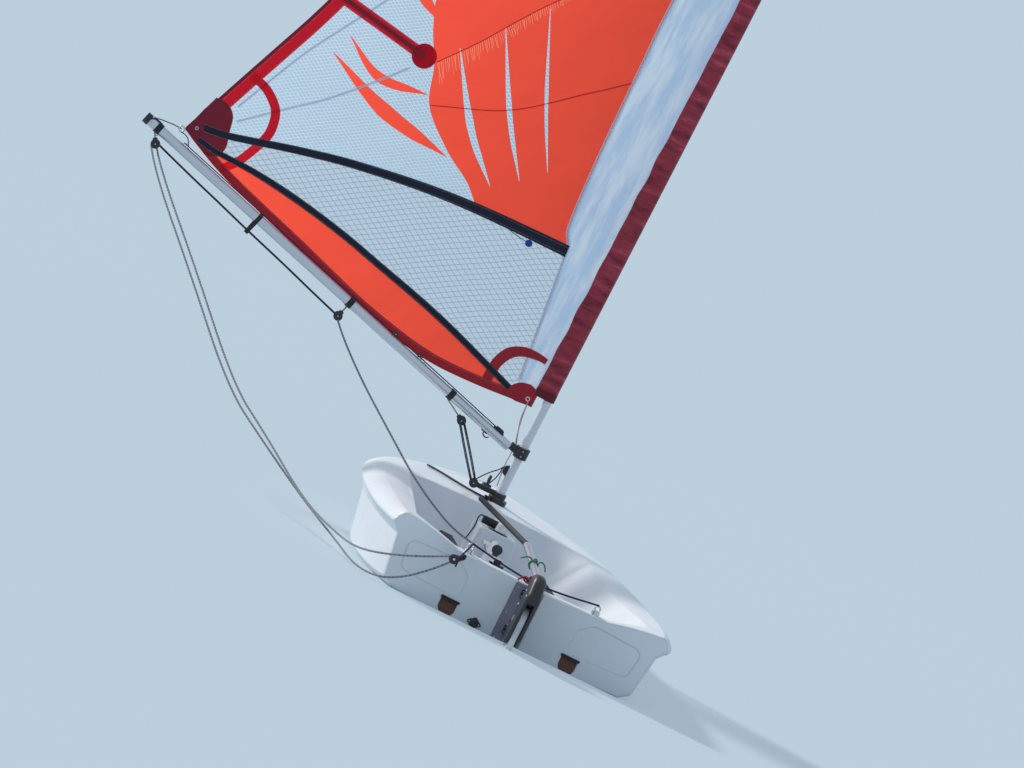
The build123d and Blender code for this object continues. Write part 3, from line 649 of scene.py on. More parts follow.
ORANGE_FILM = film(
    "orange_film", (1.0, 0.080, 0.042), (1.0, 0.14, 0.085), threads=900.0, width=0.97, through=0.86
)
SCRIM_FILM = film("scrim_film", (0.50, 0.70, 0.84), (0.90, 0.95, 1.0), 0.62, 420.0, 0.80, slant=0.62)
WINDOW_FILM = film("window_film", (0.55, 0.68, 0.80), (0.24, 0.34, 0.46), 0.22, 260.0, 0.970, slant=0.62)
# The white film's streak colour is a painted sheen.
WHITE_FILM = film(
    "white_film", (0.50, 0.68, 0.90), (0.82, 0.88, 0.96), 0.88, 1400.0, 0.9, roughness=0.28, streak=(0.86, 0.92, 0.98)
)
RED_TAPE = film("red_tape", (0.88, 0.045, 0.095), (0.95, 0.09, 0.14), through=0.8)
CRIMSON_PATCH = film("crimson_patch", (0.70, 0.012, 0.060), (0.80, 0.03, 0.09), through=0.75)
SEAM_LINE = film("seam_line", (0.74, 0.045, 0.030), (0.80, 0.07, 0.04), through=0.78)
YARN = film("pale_yarn", (1.0, 0.40, 0.24), (1.0, 0.50, 0.32), through=0.82)
MAROON_TAPE = film("maroon_tape", (0.33, 0.012, 0.040), (0.44, 0.022, 0.06), through=0.42)
RED_PATCH = film("red_patch", (0.50, 0.016, 0.03), (0.60, 0.03, 0.05), through=0.35)
WHITE_TAPE = film("white_tape", (0.86, 0.92, 0.98), (0.92, 0.96, 1.0))
BATTEN_CLOTH = woven("batten_cloth", (0.006, 0.008, 0.022), (0.022, 0.026, 0.05), (1500.0, 1500.0), sheen=0.1)


# Sail panels and sewn pieces, drawn on the flat as aft and height
LEECH = (
    (1.706, 0.742), (1.570, 1.075), (1.433, 1.416), (1.353, 1.699), (1.284, 1.941), (1.209, 2.187), (1.122, 2.435),
    (1.022, 2.685), (0.905, 2.939), (0.769, 3.197), (0.611, 3.461), (0.431, 3.735), (0.226, 4.020),
)
LUFF = ((0.047, 0.378), (0.043, 1.600), (0.036, 3.000), (0.030, 4.020))
CLEW, TACK = (1.706, 0.742), (0.062, 0.378)
FOOT_CURVE = (CLEW, (1.480, 0.632), (1.099, 0.503), (0.783, 0.402), (0.506, 0.348), (0.293, 0.350), TACK)
BATTEN_TOP = (
    (1.640, 0.778), (1.537, 0.788), (1.272, 0.850), (1.031, 0.897), (0.662, 0.944), (0.191, 0.969), (0.075, 0.966),
)
BATTEN_LOW = (
    (1.640, 0.728), (1.563, 0.713), (1.394, 0.702), (1.204, 0.676),
    (0.990, 0.634), (0.804, 0.588), (0.499, 0.511), (0.153, 0.402),
)
FILM_EDGE = (
    (0.128, 0.366), (0.134, 0.450), (0.166, 0.731), (0.197, 0.977), (0.227, 1.063), (0.246, 1.353),
    (0.257, 1.710), (0.262, 2.001), (0.240, 2.500), (0.205, 3.000), (0.150, 3.500), (0.085, 3.960),
)
ORANGE_EDGE = (
    (0.560, 0.940), (0.640, 1.020), (0.770, 1.100), (0.905, 1.220), (0.960, 1.370), (1.030, 1.500), (1.070, 1.640),
    (1.030, 1.860), (0.985, 2.060), (0.960, 2.230), (0.930, 2.420), (0.800, 2.640), (0.740, 2.830), (0.690, 3.030),
    (0.560, 3.240), (0.470, 3.450), (0.330, 3.700), (0.230, 3.900), (0.200, 4.020),
)
SCRIM, WINDOW, ORANGE, WHITE, PALE_YARN = range(5)


def edge_line(edge, low, high, count):
    """Points on the luff or the leech between two heights."""
    line = smooth_line(edge, 0.02)
    heights = np.linspace(low, high, count)
    return np.stack([np.interp(heights, line[:, 1], line[:, 0]), heights], axis=1)


def panel_outlines():
    """The sail's outline, the lines between its panels, and the outline of each panel."""
    foot = smooth_line(FOOT_CURVE, 0.02)
    leech = edge_line(LEECH, CLEW[1], SAIL_HEAD, 170)
    luff = edge_line(LUFF, TACK[1], SAIL_HEAD, 180)
    outline = np.concatenate([luff[::-1], foot[::-1][1:-1], leech[1:]])
    upper, lower = smooth_line(BATTEN_TOP, 0.02), smooth_line(BATTEN_LOW, 0.02)
    film_line, orange_line = smooth_line(FILM_EDGE, 0.02), smooth_line(ORANGE_EDGE, 0.012)
    below = np.concatenate([lower, [(0.05, 0.30), (1.75, 0.30), (1.75, 0.742)]])
    luff_film = np.concatenate([film_line, [(0.085, 4.1), (-0.05, 4.1), (-0.05, 0.30)]])
    above = np.concatenate([upper, [(0.0, 0.966), (0.0, 4.1), (1.9, 4.1), (1.9, 0.742)]])
    orange = np.concatenate([orange_line, [(0.19, 4.1), (-0.05, 4.1), (-0.05, 0.9), (0.5, 0.9)]])
    return outline, (upper, lower, film_line, orange_line), (below, luff_film, above, orange)


def blade(start, middle, end, width):
    """A tapered stripe, pointed at both ends."""
    return ribbon((start, middle, end), (0.002, width * 0.8, width, width * 0.55, 0.002), 0.02)


# Plain tapered stripes beside the orange panel's edge: orange on the scrim, and pale on the orange
ORANGE_BLADES = (
    blade((0.760, 1.075), (1.060, 1.130), (1.330, 1.245), 0.060),
    blade((0.930, 1.255), (1.130, 1.235), (1.300, 1.330), 0.040),
    blade((1.000, 1.520), (1.150, 1.620), (1.200, 1.800), 0.050),
    blade((1.010, 1.950), (1.100, 2.080), (1.080, 2.280), 0.045),
    blade((0.900, 2.480), (0.990, 2.560), (0.990, 2.720), 0.035),
)
PALE_BLADES = (
    blade((0.560, 1.050), (0.720, 1.210), (0.900, 1.470), 0.030),
    blade((0.470, 1.120), (0.610, 1.320), (0.780, 1.620), 0.022),
    blade((0.390, 1.200), (0.510, 1.430), (0.660, 1.760), 0.015),
)
ORANGE_SEAMS = (
    ((0.955, 1.383), (0.842, 1.525), (0.744, 1.669), (0.642, 1.806), (0.460, 2.010), (0.270, 2.170)),
    ((0.900, 1.225), (0.623, 1.345), (0.383, 1.544), (0.262, 1.650)),
    ((0.970, 2.060), (0.600, 2.330), (0.255, 2.600)),
    ((0.900, 2.560), (0.560, 2.800), (0.215, 3.030)),
    ((0.640, 3.150), (0.400, 3.300), (0.170, 3.430)),
)


def seam_yarns():
    """Loose yarn ends that fan down from the orange seams, long near the leech and short further in."""
    draw = random.Random(23)
    yarns = []
    for seam in ORANGE_SEAMS[::2]:
        line = smooth_line(seam, 0.0085)
        for k, (place, way) in enumerate(zip(line, directions(line))):
            length = (0.074 * (1 - k / len(line)) ** 1.6 + 0.004) * draw.uniform(0.6, 1.1)
            lean = np.array((-way[1], way[0])) + way * draw.uniform(-0.45, -0.15)
            lean = lean * (1 if lean[1] < 0 else -1)
            yarns.append(ribbon((place, place + lean * length), (0.0014, 0.0009), 0.03))
    return yarns


def make_sail():
    outline, lines, (below, luff_film, above, orange) = panel_outlines()
    kept = [line[inside(line, outline)] for line in lines]
    yarns = seam_yarns()
    kept += [np.concatenate([stripe, stripe[:1]]) for stripe in (*ORANGE_BLADES, *PALE_BLADES, *yarns)]
    points, faces = fill_outline(outline, [line for line in kept if len(line) > 1])
    middles = np.array([points[list(face)].mean(axis=0) for face in faces])
    kinds = np.full(len(faces), SCRIM)
    kinds[~inside(middles, above)] = WINDOW
    kinds[inside(middles, above) & inside(middles, orange)] = ORANGE
    kinds[inside(middles, below)] = ORANGE
    for stripes, on, kind in ((ORANGE_BLADES, SCRIM, ORANGE), (PALE_BLADES, ORANGE, SCRIM), (yarns, ORANGE, PALE_YARN)):
        for stripe in stripes:
            kinds[inside(middles, stripe) & (kinds == on)] = kind
    kinds[inside(middles, luff_film)] = WHITE
    films = [SCRIM_FILM, WINDOW_FILM, ORANGE_FILM, WHITE_FILM, YARN]
    cloth = new_piece("sail_cloth", [sail_at(a, h) for a, h in points], faces, films, points, kinds)
    return attach(cloth, "rig", "sail")


sail_cloth = make_sail()

LEECH_LINE = edge_line(LEECH, CLEW[1] + 0.01, SAIL_HEAD - 0.005, 24)
TOP_WIDTHS = (0.026, 0.030, 0.034, 0.040, 0.046)
POCKETS = (
    # leech end, inner end, width, disc radius
    ((1.412, 1.452), (1.009, 1.382), 0.046, 0.048),
    ((1.214, 2.125), (0.905, 2.070), 0.042, 0.044),
    ((0.952, 2.800), (0.700, 2.752), 0.038, 0.038),
    ((0.636, 3.385), (0.455, 3.350), 0.032, 0.031),
)
PALE_SEAMS = (
    ((1.560, 0.905), (1.434, 1.174), (1.343, 1.331), (1.234, 1.511), (1.085, 1.800)),
    ((1.540, 0.850), (1.381, 0.982), (1.261, 1.081), (1.120, 1.226), (1.040, 1.317)),
    ((1.250, 1.960), (1.090, 1.930), (1.010, 1.905)),
    ((1.120, 2.430), (0.960, 2.380)),
    ((0.905, 2.930), (0.730, 2.870)),
)


def inset(line, distance):
    """A line moved to its left by that distance."""
    line = np.array(line)
    return line + left_of(directions(line)) * distance


TELLTALE_CLOTH = woven("telltale_cloth", (0.012, 0.05, 0.28), (0.03, 0.09, 0.40), (2200.0, 2200.0))
CLEW_PATCH = (
    (1.648, 0.902), (1.600, 0.896), (1.562, 0.864), (1.546, 0.800), (1.532, 0.742), (1.548, 0.700), (1.590, 0.684),
)
INNER_PATCH = ((1.668, 0.848), (1.628, 0.838), (1.604, 0.800), (1.600, 0.750), (1.622, 0.706))
TACK_PATCH = ((0.168, 0.370), (0.156, 0.405), (0.128, 0.438), (0.088, 0.452), (0.066, 0.446))
CLEW_ARC = (
    (1.566, 1.034), (1.496, 1.011), (1.433, 0.960), (1.410, 0.900), (1.414, 0.832), (1.462, 0.722), (1.512, 0.662),
)
TACK_ARC = (
    (0.243, 0.372), (0.242, 0.412), (0.235, 0.470), (0.208, 0.523), (0.160, 0.552), (0.105, 0.560), (0.074, 0.558),
)
TELLTALE = ((0.332, 0.926), (0.392, 0.932), (0.450, 0.944))


def patch(curve, step, corners):
    """An outline of a smooth curve closed by straight edges through the corners."""
    return np.concatenate([smooth_line(curve, step), corners])


def trim_pieces():
    """The tapes, patches and pockets sewn on the sail: name, outlines, material and how proud."""
    foot = smooth_line(FOOT_CURVE, 0.05)
    clew_patch = patch(CLEW_PATCH, 0.01, [(1.650, 0.714), (1.702, 0.743), (1.676, 0.822)])
    inner_patch = patch(INNER_PATCH, 0.01, [(1.650, 0.716), (1.701, 0.743)])
    tack_patch = patch(TACK_PATCH, 0.008, [(0.0485, 0.444), (0.0485, 0.3765), (0.064, 0.376), (0.110, 0.368)])
    head_patch = np.concatenate([edge_line(LUFF, 3.90, 4.014, 5), edge_line(LEECH, 3.90, 4.014, 5)[::-1]])
    pockets = [ribbon((outer, inner), (width, width), 0.03) for outer, inner, width, _ in POCKETS]
    discs = [disc(inner, radius) for _, inner, _, radius in POCKETS]
    cores = [
        ribbon((outer, (np.array(outer) + inner) / 2, inner), (width * 0.32,) * 3, 0.03)
        for outer, inner, width, _ in POCKETS
    ]
    return (
        ("leech_tape", [ribbon(inset(LEECH_LINE, 0.029), (0.056, 0.056, 0.050, 0.040))], RED_TAPE, 0.0006),
        ("leech_edge", [ribbon(inset(LEECH_LINE, 0.005), (0.011, 0.011))], MAROON_TAPE, 0.0013),
        ("foot_tape", [ribbon(inset(foot, -0.017), (0.030, 0.034, 0.036, 0.036))], RED_PATCH, 0.0009),
        ("clew_arc", [ribbon(CLEW_ARC, (0.032, 0.034, 0.036, 0.034, 0.032))], RED_TAPE, 0.0012),
        ("clew_patch", [clew_patch, inner_patch], MAROON_TAPE, 0.0018),
        ("tack_arc", [ribbon(TACK_ARC, (0.034, 0.040, 0.042, 0.036, 0.022))], RED_PATCH, 0.0014),
        ("tack_patch", [tack_patch], RED_PATCH, 0.0020),
        ("head_patch", [head_patch], MAROON_TAPE, 0.0012),
        ("upper_batten", [ribbon(BATTEN_TOP[:-1], TOP_WIDTHS)], BATTEN_CLOTH, 0.0024),
        ("lower_batten", [ribbon(BATTEN_LOW, (0.020, 0.026, 0.026, 0.026, 0.024))], BATTEN_CLOTH, 0.0022),
        ("batten_pockets", pockets, RED_TAPE, 0.0012),
        ("pocket_ends", discs, CRIMSON_PATCH, 0.0019),
        ("pocket_battens", cores, MAROON_TAPE, 0.0027),
        ("pale_seams", [ribbon(line, (0.010, 0.010)) for line in PALE_SEAMS], WHITE_TAPE, 0.0008),
        ("orange_seams", [ribbon(line, (0.0026, 0.0026)) for line in ORANGE_SEAMS], SEAM_LINE, 0.0008),
        ("film_seam", [ribbon(FILM_EDGE[1:-1], (0.014, 0.014))], WHITE_TAPE, 0.0010),
        ("telltale", [disc(TELLTALE[0], 0.014, 18), ribbon(TELLTALE, (0.003, 0.003))], TELLTALE_CLOTH, 0.0012),
    )


for trim_name, outlines, finish, proud in trim_pieces():
    trim = sewn_piece(trim_name, outlines, [finish], proud)
    attach(trim, "rig")


# Mast sleeve: wrapped round the mast, drawn in aft to the luff seam
SLEEVE_FOOT, SLEEVE_HEAD = 0.427, 4.048
SLEEVE_LEVELS, SLEEVE_SIDES = 260, 36
SLEEVE_FLAT = 0.15
SLEEVE_DEPTH, SLEEVE_SLACK, SLEEVE_PUCKER = 0.0009, 0.0017, 0.0024
SLEEVE_WRAP = ((0.0195, 0.0420, 0.0252), (0.0095, 0.0290, 0.0218))  # shift aft, half length, half width at each end
HEM_CLOTH = woven("hem_cloth", (0.13, 0.008, 0.016), (0.19, 0.014, 0.026), (5200.0, 5200.0), roughness=0.7)


def sleeve_section(height):
    share = (height - SLEEVE_FOOT) / (SLEEVE_HEAD - SLEEVE_FOOT)
    return (a + (b - a) * share for a, b in zip(*SLEEVE_WRAP))


def on_sleeve(height, turn, proud):
    """The point on the sleeve, this far proud; it turns about the mast from the seam."""
    shift, half, wide = sleeve_section(height)
    swell = (wide + proud) * abs(sin(turn / 2)) ** 0.9
    return rig_at(shift + (half + proud) * cos(turn), height, -swell * sin(turn))


def ring_faces(rows, count, closed=False):
    """Faces between rings of points; the end rings are capped, or joined to each other."""
    faces = []
    for row in range(rows if closed else rows - 1):
        a, b = row * count, (row + 1) % rows * count
        faces += [(a + k, a + (k + 1) % count, b + (k + 1) % count, b + k) for k in range(count)]
    if not closed:
        last = (rows - 1) * count
        faces += [tuple(reversed(range(count))), tuple(range(last, last + count))]
    return faces


MERGE = 1e-5


def mend(piece, merge=0.0):
    """Turns the faces outward, and joins the points that lie within merge of each other."""
    shape = bmesh.new()
    shape.from_mesh(piece.data)
    if merge:
        bmesh.ops.remove_doubles(shape, verts=shape.verts, dist=merge)
    bmesh.ops.recalc_face_normals(shape, faces=shape.faces)
    shape.to_mesh(piece.data)
    shape.free()


def make_sleeve():
    """The sleeve, with slack along its seam and puckers where the cloth is pulled."""
    draw = random.Random(11)
    puckers = [
        (draw.uniform(SLEEVE_FOOT, SLEEVE_HEAD), draw.uniform(0.02, 0.07), draw.uniform(0.4, 1.0)) for _ in range(90)
    ]
    waves = [(draw.uniform(9, 24), draw.uniform(0, 6.28), draw.uniform(0.3, 1.0)) for _ in range(5)]
    vertices, uv = [], []
    for height in np.linspace(SLEEVE_FOOT, SLEEVE_HEAD, SLEEVE_LEVELS + 1):
        shift, half, wide = sleeve_section(height)
        slack = sum(size * sin(rate * height * 2 + phase) for rate, phase, size in waves) * SLEEVE_SLACK
        pulls = sum(size * max(0.0, 1 - abs(height - at) / reach) for at, reach, size in puckers) * SLEEVE_PUCKER
        for k in range(SLEEVE_SIDES + 1):
            turn = 2 * pi * k / SLEEVE_SIDES
            tail = (1 + cos(turn)) / 2
            swell = wide * abs(sin(turn / 2)) ** 0.9
            fold = pulls * (0.25 + tail) * abs(sin(turn)) * (-1 if turn < pi else 0.6)
            vertices.append(rig_at(shift + half * cos(turn) + slack * tail, height, fold - swell * sin(turn)))
            uv.append((k / SLEEVE_SIDES * SLEEVE_FLAT, height))
    piece = new_piece("mast_sleeve", vertices, grid_faces(SLEEVE_LEVELS + 1, SLEEVE_SIDES + 1), [SLEEVE_CLOTH], uv)
    mend(piece, MERGE)
    thick = piece.modifiers.new("cloth", "SOLIDIFY")
    thick.thickness = SLEEVE_DEPTH
    thick.offset = -1
    return attach(piece, "rig", "luff_sleeve")


def make_hem(name, height, length):
    """A doubled band of cloth round an end of the sleeve."""
    vertices, uv = [], []
    rows = ((0, 0.0004), (0, 0.0012), (length, 0.0012), (length, 0.0004))
    for rise, proud in rows:
        for k in range(SLEEVE_SIDES):
            vertices.append(on_sleeve(height + rise, 2 * pi * k / SLEEVE_SIDES, proud))
            uv.append((k / SLEEVE_SIDES * SLEEVE_FLAT, rise))
    piece = new_piece(name, vertices, ring_faces(len(rows), SLEEVE_SIDES, True), [HEM_CLOTH], uv)
    mend(piece, MERGE)
    return attach(piece, "rig")


sleeve = make_sleeve()
hems = [
    make_hem("sleeve_hem_low", SLEEVE_FOOT - 0.001, 0.034),
    make_hem("sleeve_hem_high", SLEEVE_HEAD - 0.028, 0.026),
]


# Ropes
ROPE_SIDES = 8


def braid(name, base, fleck, share=0.2, twist=2600.0):
    """Plaited rope: crossing strands on the UV map, with flecks of a second colour."""
    material, tree, shader = new_material(name, base, 0.7, Specular_IOR_Level=0.3)
    split = add_node(tree, "ShaderNodeSeparateXYZ", Vector=flat_place(tree)).outputs
    turn = compute(tree, "MULTIPLY", split[0], 2 * pi)
    strands = []
    for sign in (1, -1):
        along = compute(tree, "MULTIPLY", split[1], sign * twist / 4)
        strands.append(compute(tree, "SINE", compute(tree, "MULTIPLY_ADD", turn, 3.0, along)))
    crown = compute(tree, "MULTIPLY", *strands)
    mark = compute(tree, "GREATER_THAN", strands[0], 1 - 2 * share)
    mark = compute(tree, "MULTIPLY", mark, compute(tree, "GREATER_THAN", crown, 0.0))
    tree.links.new(mix_colors(tree, mark, base, fleck), shader.inputs["Base Color"])
    set_normal(tree, shader, 0, Strength=0.8, Distance=0.0006, Height=crown)
    return material


PALE_ROPE = braid("pale_fleck_rope", (0.36, 0.38, 0.40), (0.012, 0.014, 0.032), 0.62, twist=900.0)
DARK_ROPE = braid("dark_rope", (0.012, 0.014, 0.03), (0.10, 0.11, 0.14), 0.14)
NAVY_ROPE = braid("navy_rope", (0.012, 0.016, 0.07), (0.05, 0.06, 0.16))
RED_ROPE = braid("red_fleck_rope", (0.62, 0.60, 0.60), (0.45, 0.01, 0.03), 0.5, twist=3400.0)
GREEN_ROPE = braid("green_rope", (0.01, 0.16, 0.08), (0.03, 0.30, 0.15), 0.3)
SCARLET_ROPE = braid("scarlet_rope", (0.45, 0.01, 0.02), (0.60, 0.05, 0.06), 0.3)


def rope_path(points):
    """The smooth line of a rope, read from the NURBS spline through its route."""
    curve = bpy.data.curves.new("route", "CURVE")
    curve.dimensions = "3D"
    curve.resolution_u = 10
    spline = curve.splines.new("NURBS")
    spline.points.add(len(points) - 1)
    for point, place in zip(spline.points, points):
        point.co = (*place, 1)
    spline.order_u = 3
    spline.use_endpoint_u = True
    route = bpy.data.objects.new("route", curve)
    scene.collection.objects.link(route)
    bpy.context.view_layer.update()
    line = bpy.data.meshes.new_from_object(route)
    path = [v.co.copy() for v in line.vertices]
    bpy.data.objects.remove(route)
    bpy.data.curves.remove(curve)
    bpy.data.meshes.remove(line)
    return path


def tube(path, radius):
    """A closed tube along a path: vertices, faces and UV round and along it."""
    vertices, uv = [], []
    normal, run = None, 0.0
    for k, place in enumerate(path):
        ahead = (path[min(k + 1, len(path) - 1)] - path[max(k - 1, 0)]).normalized()
        if normal is None:
            normal = ahead.orthogonal().normalized()
        normal = (normal - ahead * normal.dot(ahead)).normalized()
        other = ahead.cross(normal)
        run += (place - path[k - 1]).length if k else 0.0
        for n in range(ROPE_SIDES):
            turn = 2 * pi * n / ROPE_SIDES
            vertices.append(place + normal * radius * cos(turn) + other * radius * sin(turn))
            uv.append((abs(2 * n / ROPE_SIDES - 1), run))
    return vertices, ring_faces(len(path), ROPE_SIDES), uv


def rope(name, routes, radius, finish, body=None, joined=None):
    """Rope along one or more routes, riding on a body, or baked in place on no body where joined gives the two bodies
    that its ends run between.
    """
    vertices, faces, uv = [], [], []
    for route in routes:
        start = len(vertices)
        found = tube(rope_path([Vector(p) for p in route]), radius)
        vertices += found[0]
        faces += [tuple(start + k for k in face) for face in found[1]]
        uv += found[2]
    piece = new_piece(name, vertices, faces, [finish], uv)
    if joined:
        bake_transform(piece)
    else:
        attach(piece, body)


END_BLOCK, MID_BLOCK = boom_at(1.776, 0.052), boom_at(0.826, 0.069)
VANG_UPPER, VANG_LOWER = boom_at(0.203, 0.047), rig_at(0.112, 0.014)
TRAVELLER = Vector((-0.272, -1.435, 0.180))

# Mainsheet falls, slack from the boom's end to the traveller block, clear of the port quarter
FALL_FIRST = (
    END_BLOCK + Vector((0.012, -0.002, -0.012)),
    (-1.720, 0.500, 0.880), (-1.434, 0.125, 0.609), (-1.136, -0.295, 0.311), (-0.971, -0.515, 0.220),
    (-0.762, -0.815, 0.089), (-0.635, -1.075, 0.059), (-0.577, -1.275, 0.061), (-0.527, -1.405, 0.081),
    (-0.457, -1.435, 0.106), (-0.351, -1.432, 0.151), TRAVELLER + Vector((-0.012, -0.004, 0.008)),
)
FALL_SECOND = (
    END_BLOCK + Vector((-0.012, 0.002, -0.012)),
    (-1.735, 0.490, 0.862), (-1.450, 0.125, 0.591), (-1.150, -0.275, 0.293), (-0.969, -0.495, 0.194),
    (-0.792, -0.695, 0.102), (-0.695, -0.895, 0.062), (-0.618, -1.095, 0.034), (-0.560, -1.310, 0.012),
    (-0.498, -1.435, 0.014), (-0.429, -1.455, 0.036), (-0.338, -1.445, 0.105),
    TRAVELLER + Vector((-0.008, -0.004, -0.010)),
)
FALL_MIDDLE = (
    MID_BLOCK + Vector((0.004, 0, -0.012)),
    (-0.825, 0.576, 0.620), (-0.689, 0.416, 0.503), (-0.520, 0.234, 0.381), (-0.374, 0.072, 0.276),
    (-0.230, -0.076, 0.202), (-0.151, -0.153, 0.180), (-0.075, -0.226, 0.172),
)
LOOP_REACH = 1.300
BOOM_FALL = (
    END_BLOCK + Vector((0.010, 0, 0.004)), boom_at(1.620, 0.052), boom_at(1.450, 0.055), boom_at(LOOP_REACH, 0.060),
    boom_at(1.120, 0.062), boom_at(0.950, 0.068), MID_BLOCK + Vector((-0.010, 0, 0.002)),
)
AFT_ENDS = ("hull", "rig", (-0.30, -1.43, 0.2), (-1.76, 0.56, 0.94))
MIDDLE_ENDS = ("hull", "rig", (-0.08, -0.22, 0.18), (-0.86, 0.62, 0.66))
SHEET_PARTS = (
    # name, route, radius, finish, body, or the bodies and places of its two ends
    ("sheet_fall_first", FALL_FIRST, 0.0036, PALE_ROPE, None, AFT_ENDS),
    ("sheet_fall_second", FALL_SECOND, 0.0036, PALE_ROPE, None, AFT_ENDS),
    ("sheet_fall_middle", FALL_MIDDLE, 0.0038, PALE_ROPE, None, MIDDLE_ENDS),
    ("sheet_on_boom", BOOM_FALL, 0.0040, DARK_ROPE, "rig", None),
)
for name, route, radius, finish, body, joined in SHEET_PARTS:
    rope(name, [route], radius, finish, body, joined)

# Webbing
BAND_SECTION = (
    (-0.5, -0.2), (-0.47, -0.5), (0.47, -0.5), (0.5, -0.2), (0.5, 0.2), (0.47, 0.5), (-0.47, 0.5), (-0.5, 0.2),
)


def band(name, path, across, width, depth, finish, body, node=None, closed=False):
    """Flat webbing along a path, with rounded edges; across gives the direction of its width."""
    vertices, uv = [], []
    count, run = len(path), 0.0
    side = Vector(across).normalized()
    for k, place in enumerate(path):
        ahead = path[(k + 1) % count if closed else min(k + 1, count - 1)] - path[k - 1 if closed or k else 0]
        up = ahead.normalized().cross(side).normalized()
        run += (place - path[k - 1]).length if k else 0.0
        for x, z in BAND_SECTION:
            vertices.append(place + side * width * x + up * depth * z)
            uv.append((width * x + depth * z, run))
    piece = new_piece(name, vertices, ring_faces(count, len(BAND_SECTION), closed), [finish], uv)
    mend(piece)
    attach(piece, body, node)


# Forward and up along the cockpit floor
HIKING_RUN = (
    (0.222, 0.073), (0.190, 0.086), (0.120, 0.116), (0.010, 0.152), (-0.300, 0.149),
    (-0.650, 0.143), (-0.985, 0.141), (-1.080, 0.116), (-1.160, 0.087), (-1.203, 0.073),
)
PAD_RISE = 0.0032
for x, label in ((-0.190, "port"), (0.190, "starboard")):
    strap_path = [Vector((x, y, z)) for y, z in smooth_line(HIKING_RUN, 0.015)]
    pad_path = [Vector((x, y, z + PAD_RISE)) for y, z in smooth_line(HIKING_RUN[3:7], 0.015)]
    across, strap_node = (1, 0, 0), f"hiking_strap_{label}"
    band(f"hiking_webbing_{label}", strap_path, across, 0.048, 0.0026, WEBBING, "hull", strap_node)
    band(f"hiking_pad_{label}", pad_path, across, 0.049, 0.0044, RUBBER, "hull")


STRAP_GAP, STRAP_WIDTH, STRAP_DEPTH = 0.0016, 0.0236, 0.0022
TAIL_WIDTH, TAIL_DEPTH, TAIL_GAP = 0.0100, 0.0016, 0.0011
LUG_REACH = 0.0235


def make_boom_strap(name, node, reach, centre):
    """Webbing sewn round the boom, with a doubled tail down to the lug of its block."""
    radius = BOOM_RADIUS + STRAP_GAP
    ring = [boom_at(reach, -radius * cos(2 * pi * k / 40), radius * sin(2 * pi * k / 40)) for k in range(40)]
    band(name, ring, BOOM_LINE, STRAP_WIDTH, STRAP_DEPTH, WEBBING, "rig", node, closed=True)
    foot = boom_at(reach, BOOM_RADIUS + 0.002)
    along = (centre - foot).normalized()
    drop = (centre - foot).length - LUG_REACH
    ahead = along.cross(WINDWARD)
    for step, label in ((-TAIL_GAP, "fore"), (TAIL_GAP, "aft")):
        path = [foot + along * drop * t + ahead * step * (1 + 0.6 * sin(pi * t)) for t in np.linspace(0, 1, 9)]
        band(f"{name}_tail_{label}", path, WINDWARD, TAIL_WIDTH, TAIL_DEPTH, WEBBING, "rig")


make_boom_strap("boom_end_webbing", "end_strap", 1.806, END_BLOCK)
make_boom_strap("boom_middle_webbing", "mid_strap", 0.826, MID_BLOCK)
make_boom_strap("boom_vang_webbing", "vang_strap", 0.301, VANG_UPPER)

# Loop that keeps the sheet near the boom: round the boom, and round the sheet below it
LOOP_ROUND_BOOM, LOOP_ROUND_SHEET, LOOP_DROP = 0.0205, 0.0062, 0.065
loop_path = []
for radius, drop, turns in (
    (LOOP_ROUND_BOOM, 0.0, np.linspace(-1.9, 1.9, 22)), (LOOP_ROUND_SHEET, LOOP_DROP, np.linspace(1.9, 4.38, 12)),
):
    loop_path += [boom_at(LOOP_REACH, drop - radius * cos(t), radius * sin(t)) for t in turns]
band("boom_sheet_loop", loop_path, BOOM_LINE, 0.017, 0.0018, WEBBING, "rig", closed=True)

# Small lines
hull_mesh = nodes["hull"].data
hull_tree = BVHTree.FromPolygons(
    [v.co.copy() for v in hull_mesh.vertices], [tuple(f.vertices) for f in hull_mesh.polygons]
)


def on_deck(x, y, clear):
    """The point that far above the hull's surface."""
    place, _, _, _ = hull_tree.ray_cast(Vector((x, y, 1)), Vector((0, 0, -1)))
    return Vector((x, y, place.z + clear))


def wraps(centre, axis, radius, turns, pitch, start=0.0):
    """Route of a line wound round a tube."""
    axis = Vector(axis).normalized()
    first = axis.orthogonal().normalized()
    second = axis.cross(first)
    route = []
    for k in range(int(turns * 10) + 1):
        turn = start + 2 * pi * k / 10
        out = first * cos(turn) + second * sin(turn)
        route.append(Vector(centre) + axis * pitch * k / 10 + out * radius)
    return route


